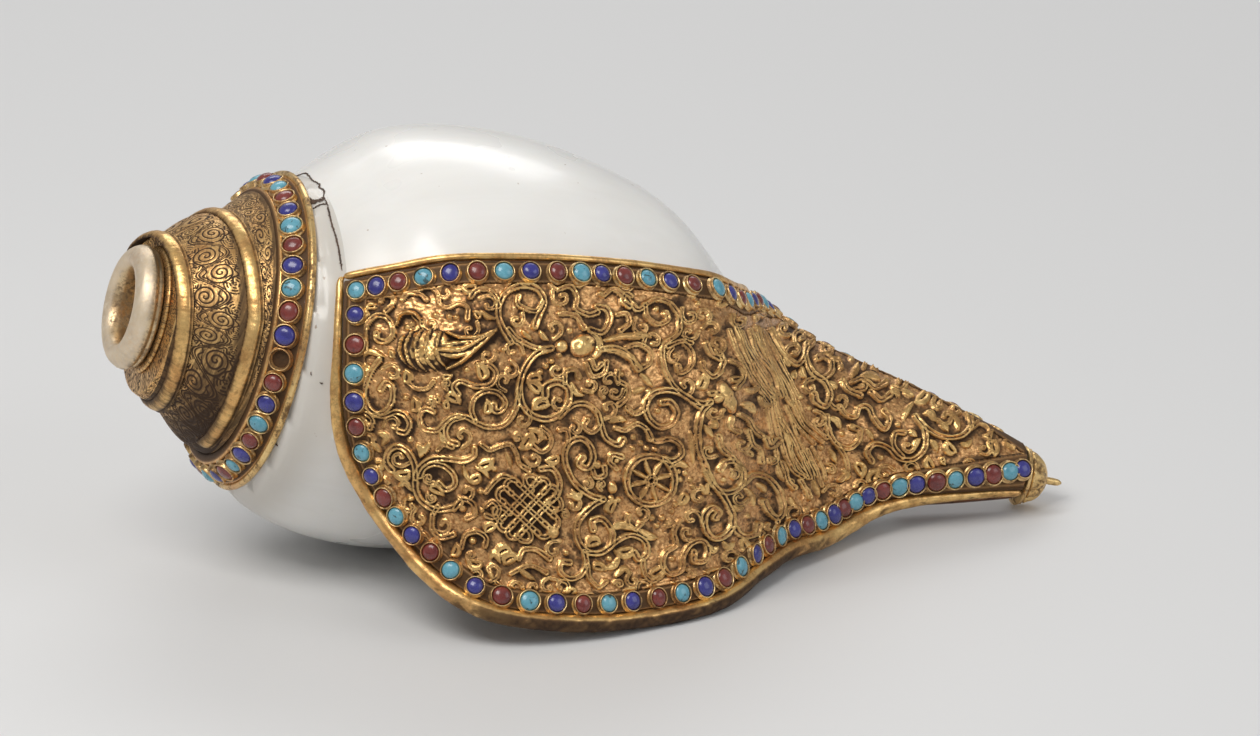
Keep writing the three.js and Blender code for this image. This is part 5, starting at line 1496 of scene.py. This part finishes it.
def cap_stone_places():
    along = (CAP_ENDS + JEWEL_BAND_ENDS) / 2 + 0.15
    angles = np.array([360 * i / CAP_STONES for i in range(CAP_STONES)])
    radius = cone_radius(along)
    point = round_cap(along + 0 * angles, angles, radius + 0 * angles)
    tangent = unit(round_cap(along + 0 * angles, angles + 1, radius + 0 * angles) - point)
    slope = unit(round_cap(along + 1 + 0 * angles, angles, cone_radius(along + 1) + 0 * angles) - point)
    facing = unit(np.cross(tangent, slope))
    outwards = point - round_cap(along + 0 * angles, angles, 0 * angles)
    facing *= np.sign((facing * outwards).sum(1))[:, None]
    return list(zip(point, tangent, slope, facing))


# The finial
def finial_point(station, angle, radius):
    bend = BEND_OFFSET * ((APRON_ENDS - BEND_FROM) / (LENGTH - BEND_FROM)) ** BEND_POWER
    a = np.radians(angle)
    return in_row(station, -radius * np.sin(a) - bend * math.cos(BEND_UP),
                  radius * np.cos(a) + bend * math.sin(BEND_UP))


def finial_collar():
    section = [(0.01, 235.4), (5.6, 235.4), (6.7, 235.5), (7.5, 236.0), (7.6, 236.3), (7.3, 236.8), (6.4, 237.1),
               (0.01, 237.1)]
    return ring_piece("finial_collar", section, 120, finial_point)


def finial_knob():
    rise = [math.pi / 2 * i / 10 for i in range(11)]
    section = [(0.01, 237.35)] + [(6.75 * math.cos(a), 237.4 + 5.9 * math.sin(a)) for a in rise[:-1]] + [(0.01, 243.35)]

    def ribs(angle, station):
        fade = 1 - smoothstep(station, 241.5, 243.2)
        return 1 - 0.085 * fade * (1 - np.abs(np.sin(np.radians(angle) * 7)))

    return ring_piece("finial_knob", section, 336, finial_point, ribs)


def finial_pin():
    section = [(0.01, 242.9), (0.85, 242.9), (0.9, 246.0), (0.6, 247.2), (0.01, 247.4)]
    return ring_piece("finial_pin", section, 24, finial_point)


def beak_sleeve():
    def place(u, v):
        outer = v <= 0.5
        share = np.where(outer, v * 2, 2 - v * 2)
        along = 206 + (APRON_ENDS - 0.3 - 206) * u
        angle = 129 + (312 - 129) * share
        behind = smoothstep(angle, 129, 230)
        radius = outline(along) * (1 - behind) + body_radius(along, angle - 360) * behind
        ends = np.clip(np.minimum(u, 1 - u) / 0.02, 0, 1) * np.clip(np.minimum(share, 1 - share) / 0.02, 0, 1)
        return round_axis(along, angle, radius + 1.3 + np.where(outer, 0.5, -0.5) * np.sqrt(ends))

    return laid_sheet("beak_sleeve", 60, 160, place, wrap=True)


# Everything in its place
whorls = shell_whorls()
add_piece(whorls, "shell_whorls", ["shell"], shell_material)
add_piece(shell_cracks(whorls), "shell_cracks", ["shell"], cement_lac)
add_piece(columella(), "shell_columella", ["shell"], shell_material)

relief = draw_relief()
PANEL_EDGES = (0.0, 0.22, 0.45, 0.7, 1.0)
for number, (low, high) in enumerate(zip(PANEL_EDGES[:-1], PANEL_EDGES[1:]), 1):
    add_piece(apron_panel(f"apron_relief_{number}", low, high, relief), f"apron_relief_{number}",
              ["apron_plate"], gilt_relief)
# The lining: copper painted dark for the shade beneath the plate.
add_piece(sheet_on_shell("apron_lining_smooth", LINING_LIFT, 0.7, 0.012, 150, 120), "apron_lining_smooth",
          ["apron_lining"], copper_in_painted_shade)
add_piece(rim_roll(), "apron_rim_smooth", ["apron_rim_roll"], gilt_relief)
add_piece(top_fillet(), "apron_fillet_smooth", ["apron_top_fillet"], gilt_relief)
add_piece(border_strip(), "apron_border_strip", ["apron_jewel_border"], gilt_relief)

t, tucked = border_places()
# Behind the top edge the stones sit lower and further back, out of the photograph's view
places = list(zip(*margin_frame(t, INSET - TUCKED_BACK * tucked, BORDER_LIFT + 0.25 - TUCKED_DOWN * tucked)))
first_side = len(t) - len(SIDE_STONES)
colours = [(first_side - i) % 3 if i >= first_side else (i - first_side) % 3 for i in range(len(t))]
collets, stones = set_stones("apron", places, colours, 1.0, 11)
add_piece(collets, "apron_collets", ["apron_jewel_border"], gilt_collet)
for mesh, material, colour in zip(stones, (turquoise, red_stone, blue_stone), ("turquoise", "red", "blue")):
    add_piece(mesh, f"apron_{colour}_stones", ["apron_jewel_border"], material)

add_piece(mouthpiece_lip(), "mouthpiece_lip_smooth", ["mouthpiece_lip"], gilt_worn)
add_piece(neck_flange(), "neck_flange_smooth", ["mouthpiece_flange"], gilt_relief)
add_piece(blow_tube(), "blow_tube_smooth", ["blow_tube"], gilt_plain)
for number, (low, high) in enumerate(((0.0, 0.5), (0.5, 1.0)), 1):
    add_piece(cap_sheet(f"cap_sheet_engraved_{number}", low, high), f"cap_sheet_engraved_{number}",
              ["cap_sheet"], gilt_relief)
add_piece(spiral_moulding(), "cap_moulding_smooth", ["cap_spiral_moulding"], gilt_relief)
add_piece(jewel_band(), "jewel_band_smooth", ["cap_jewel_band"], gilt_relief)
add_piece(edge_rim(), "edge_rim_smooth", ["cap_edge_rim"], gilt_plain)
cap_colours = [i % 3 for i in range(CAP_STONES)]
collets, stones = set_stones("cap", cap_stone_places(), cap_colours, 1.06, 12, empty=(EMPTY_PLACE,))
add_piece(collets, "cap_collets", ["cap_jewel_band"], gilt_collet)
for number, (mesh, material, colour) in enumerate(zip(stones, (turquoise, red_stone, blue_stone),
                                                      ("turquoise", "red", "blue"))):
    nodes = [f"cap_stone_{i + 1:02d}" for i in range(CAP_STONES) if cap_colours[i] == number and i != EMPTY_NODE]
    add_piece(mesh, f"cap_{colour}_stones", nodes, material)
add_piece(finial_collar(), "finial_collar_smooth", ["finial_collar"], gilt_plain)
add_piece(finial_knob(), "finial_knob_ribbed", ["finial_knob"], gilt_plain)
add_piece(finial_pin(), "finial_pin_smooth", ["finial_pin"], gilt_plain)
# The beak sleeve: copper painted dark for the shade beneath the plate.
add_piece(beak_sleeve(), "beak_sleeve_smooth", ["beak_sleeve"], copper_in_painted_shade)

# The floor
floor_work = bmesh.new()
bmesh.ops.create_grid(floor_work, x_segments=1, y_segments=1, size=3)
floor_mesh = bpy.data.meshes.new("floor")
floor_work.to_mesh(floor_mesh)
floor_work.free()
floor = bpy.data.objects.new("floor", floor_mesh)
bpy.context.scene.collection.objects.link(floor)
floor_material, floor_nodes, floor_links, floor_shader = new_material("floor_pale")
floor_shader.inputs["Base Color"].default_value = (0.72, 0.72, 0.72, 1)
floor_shader.inputs["Roughness"].default_value = 0.6
floor_mesh.materials.append(floor_material)
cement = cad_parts["cap_cement"]
cement.data.materials.clear()
cement.data.materials.append(cement_lac)
world = bpy.context.scene.world or bpy.data.worlds.new("world")
bpy.context.scene.world = world
world.use_nodes = True
world.node_tree.nodes["Background"].inputs["Color"].default_value = (0.8, 0.8, 0.8, 1)
world.node_tree.nodes["Background"].inputs["Strength"].default_value = 0.45
camera_and_light()
bpy.context.scene.view_settings.view_transform = "Standard"
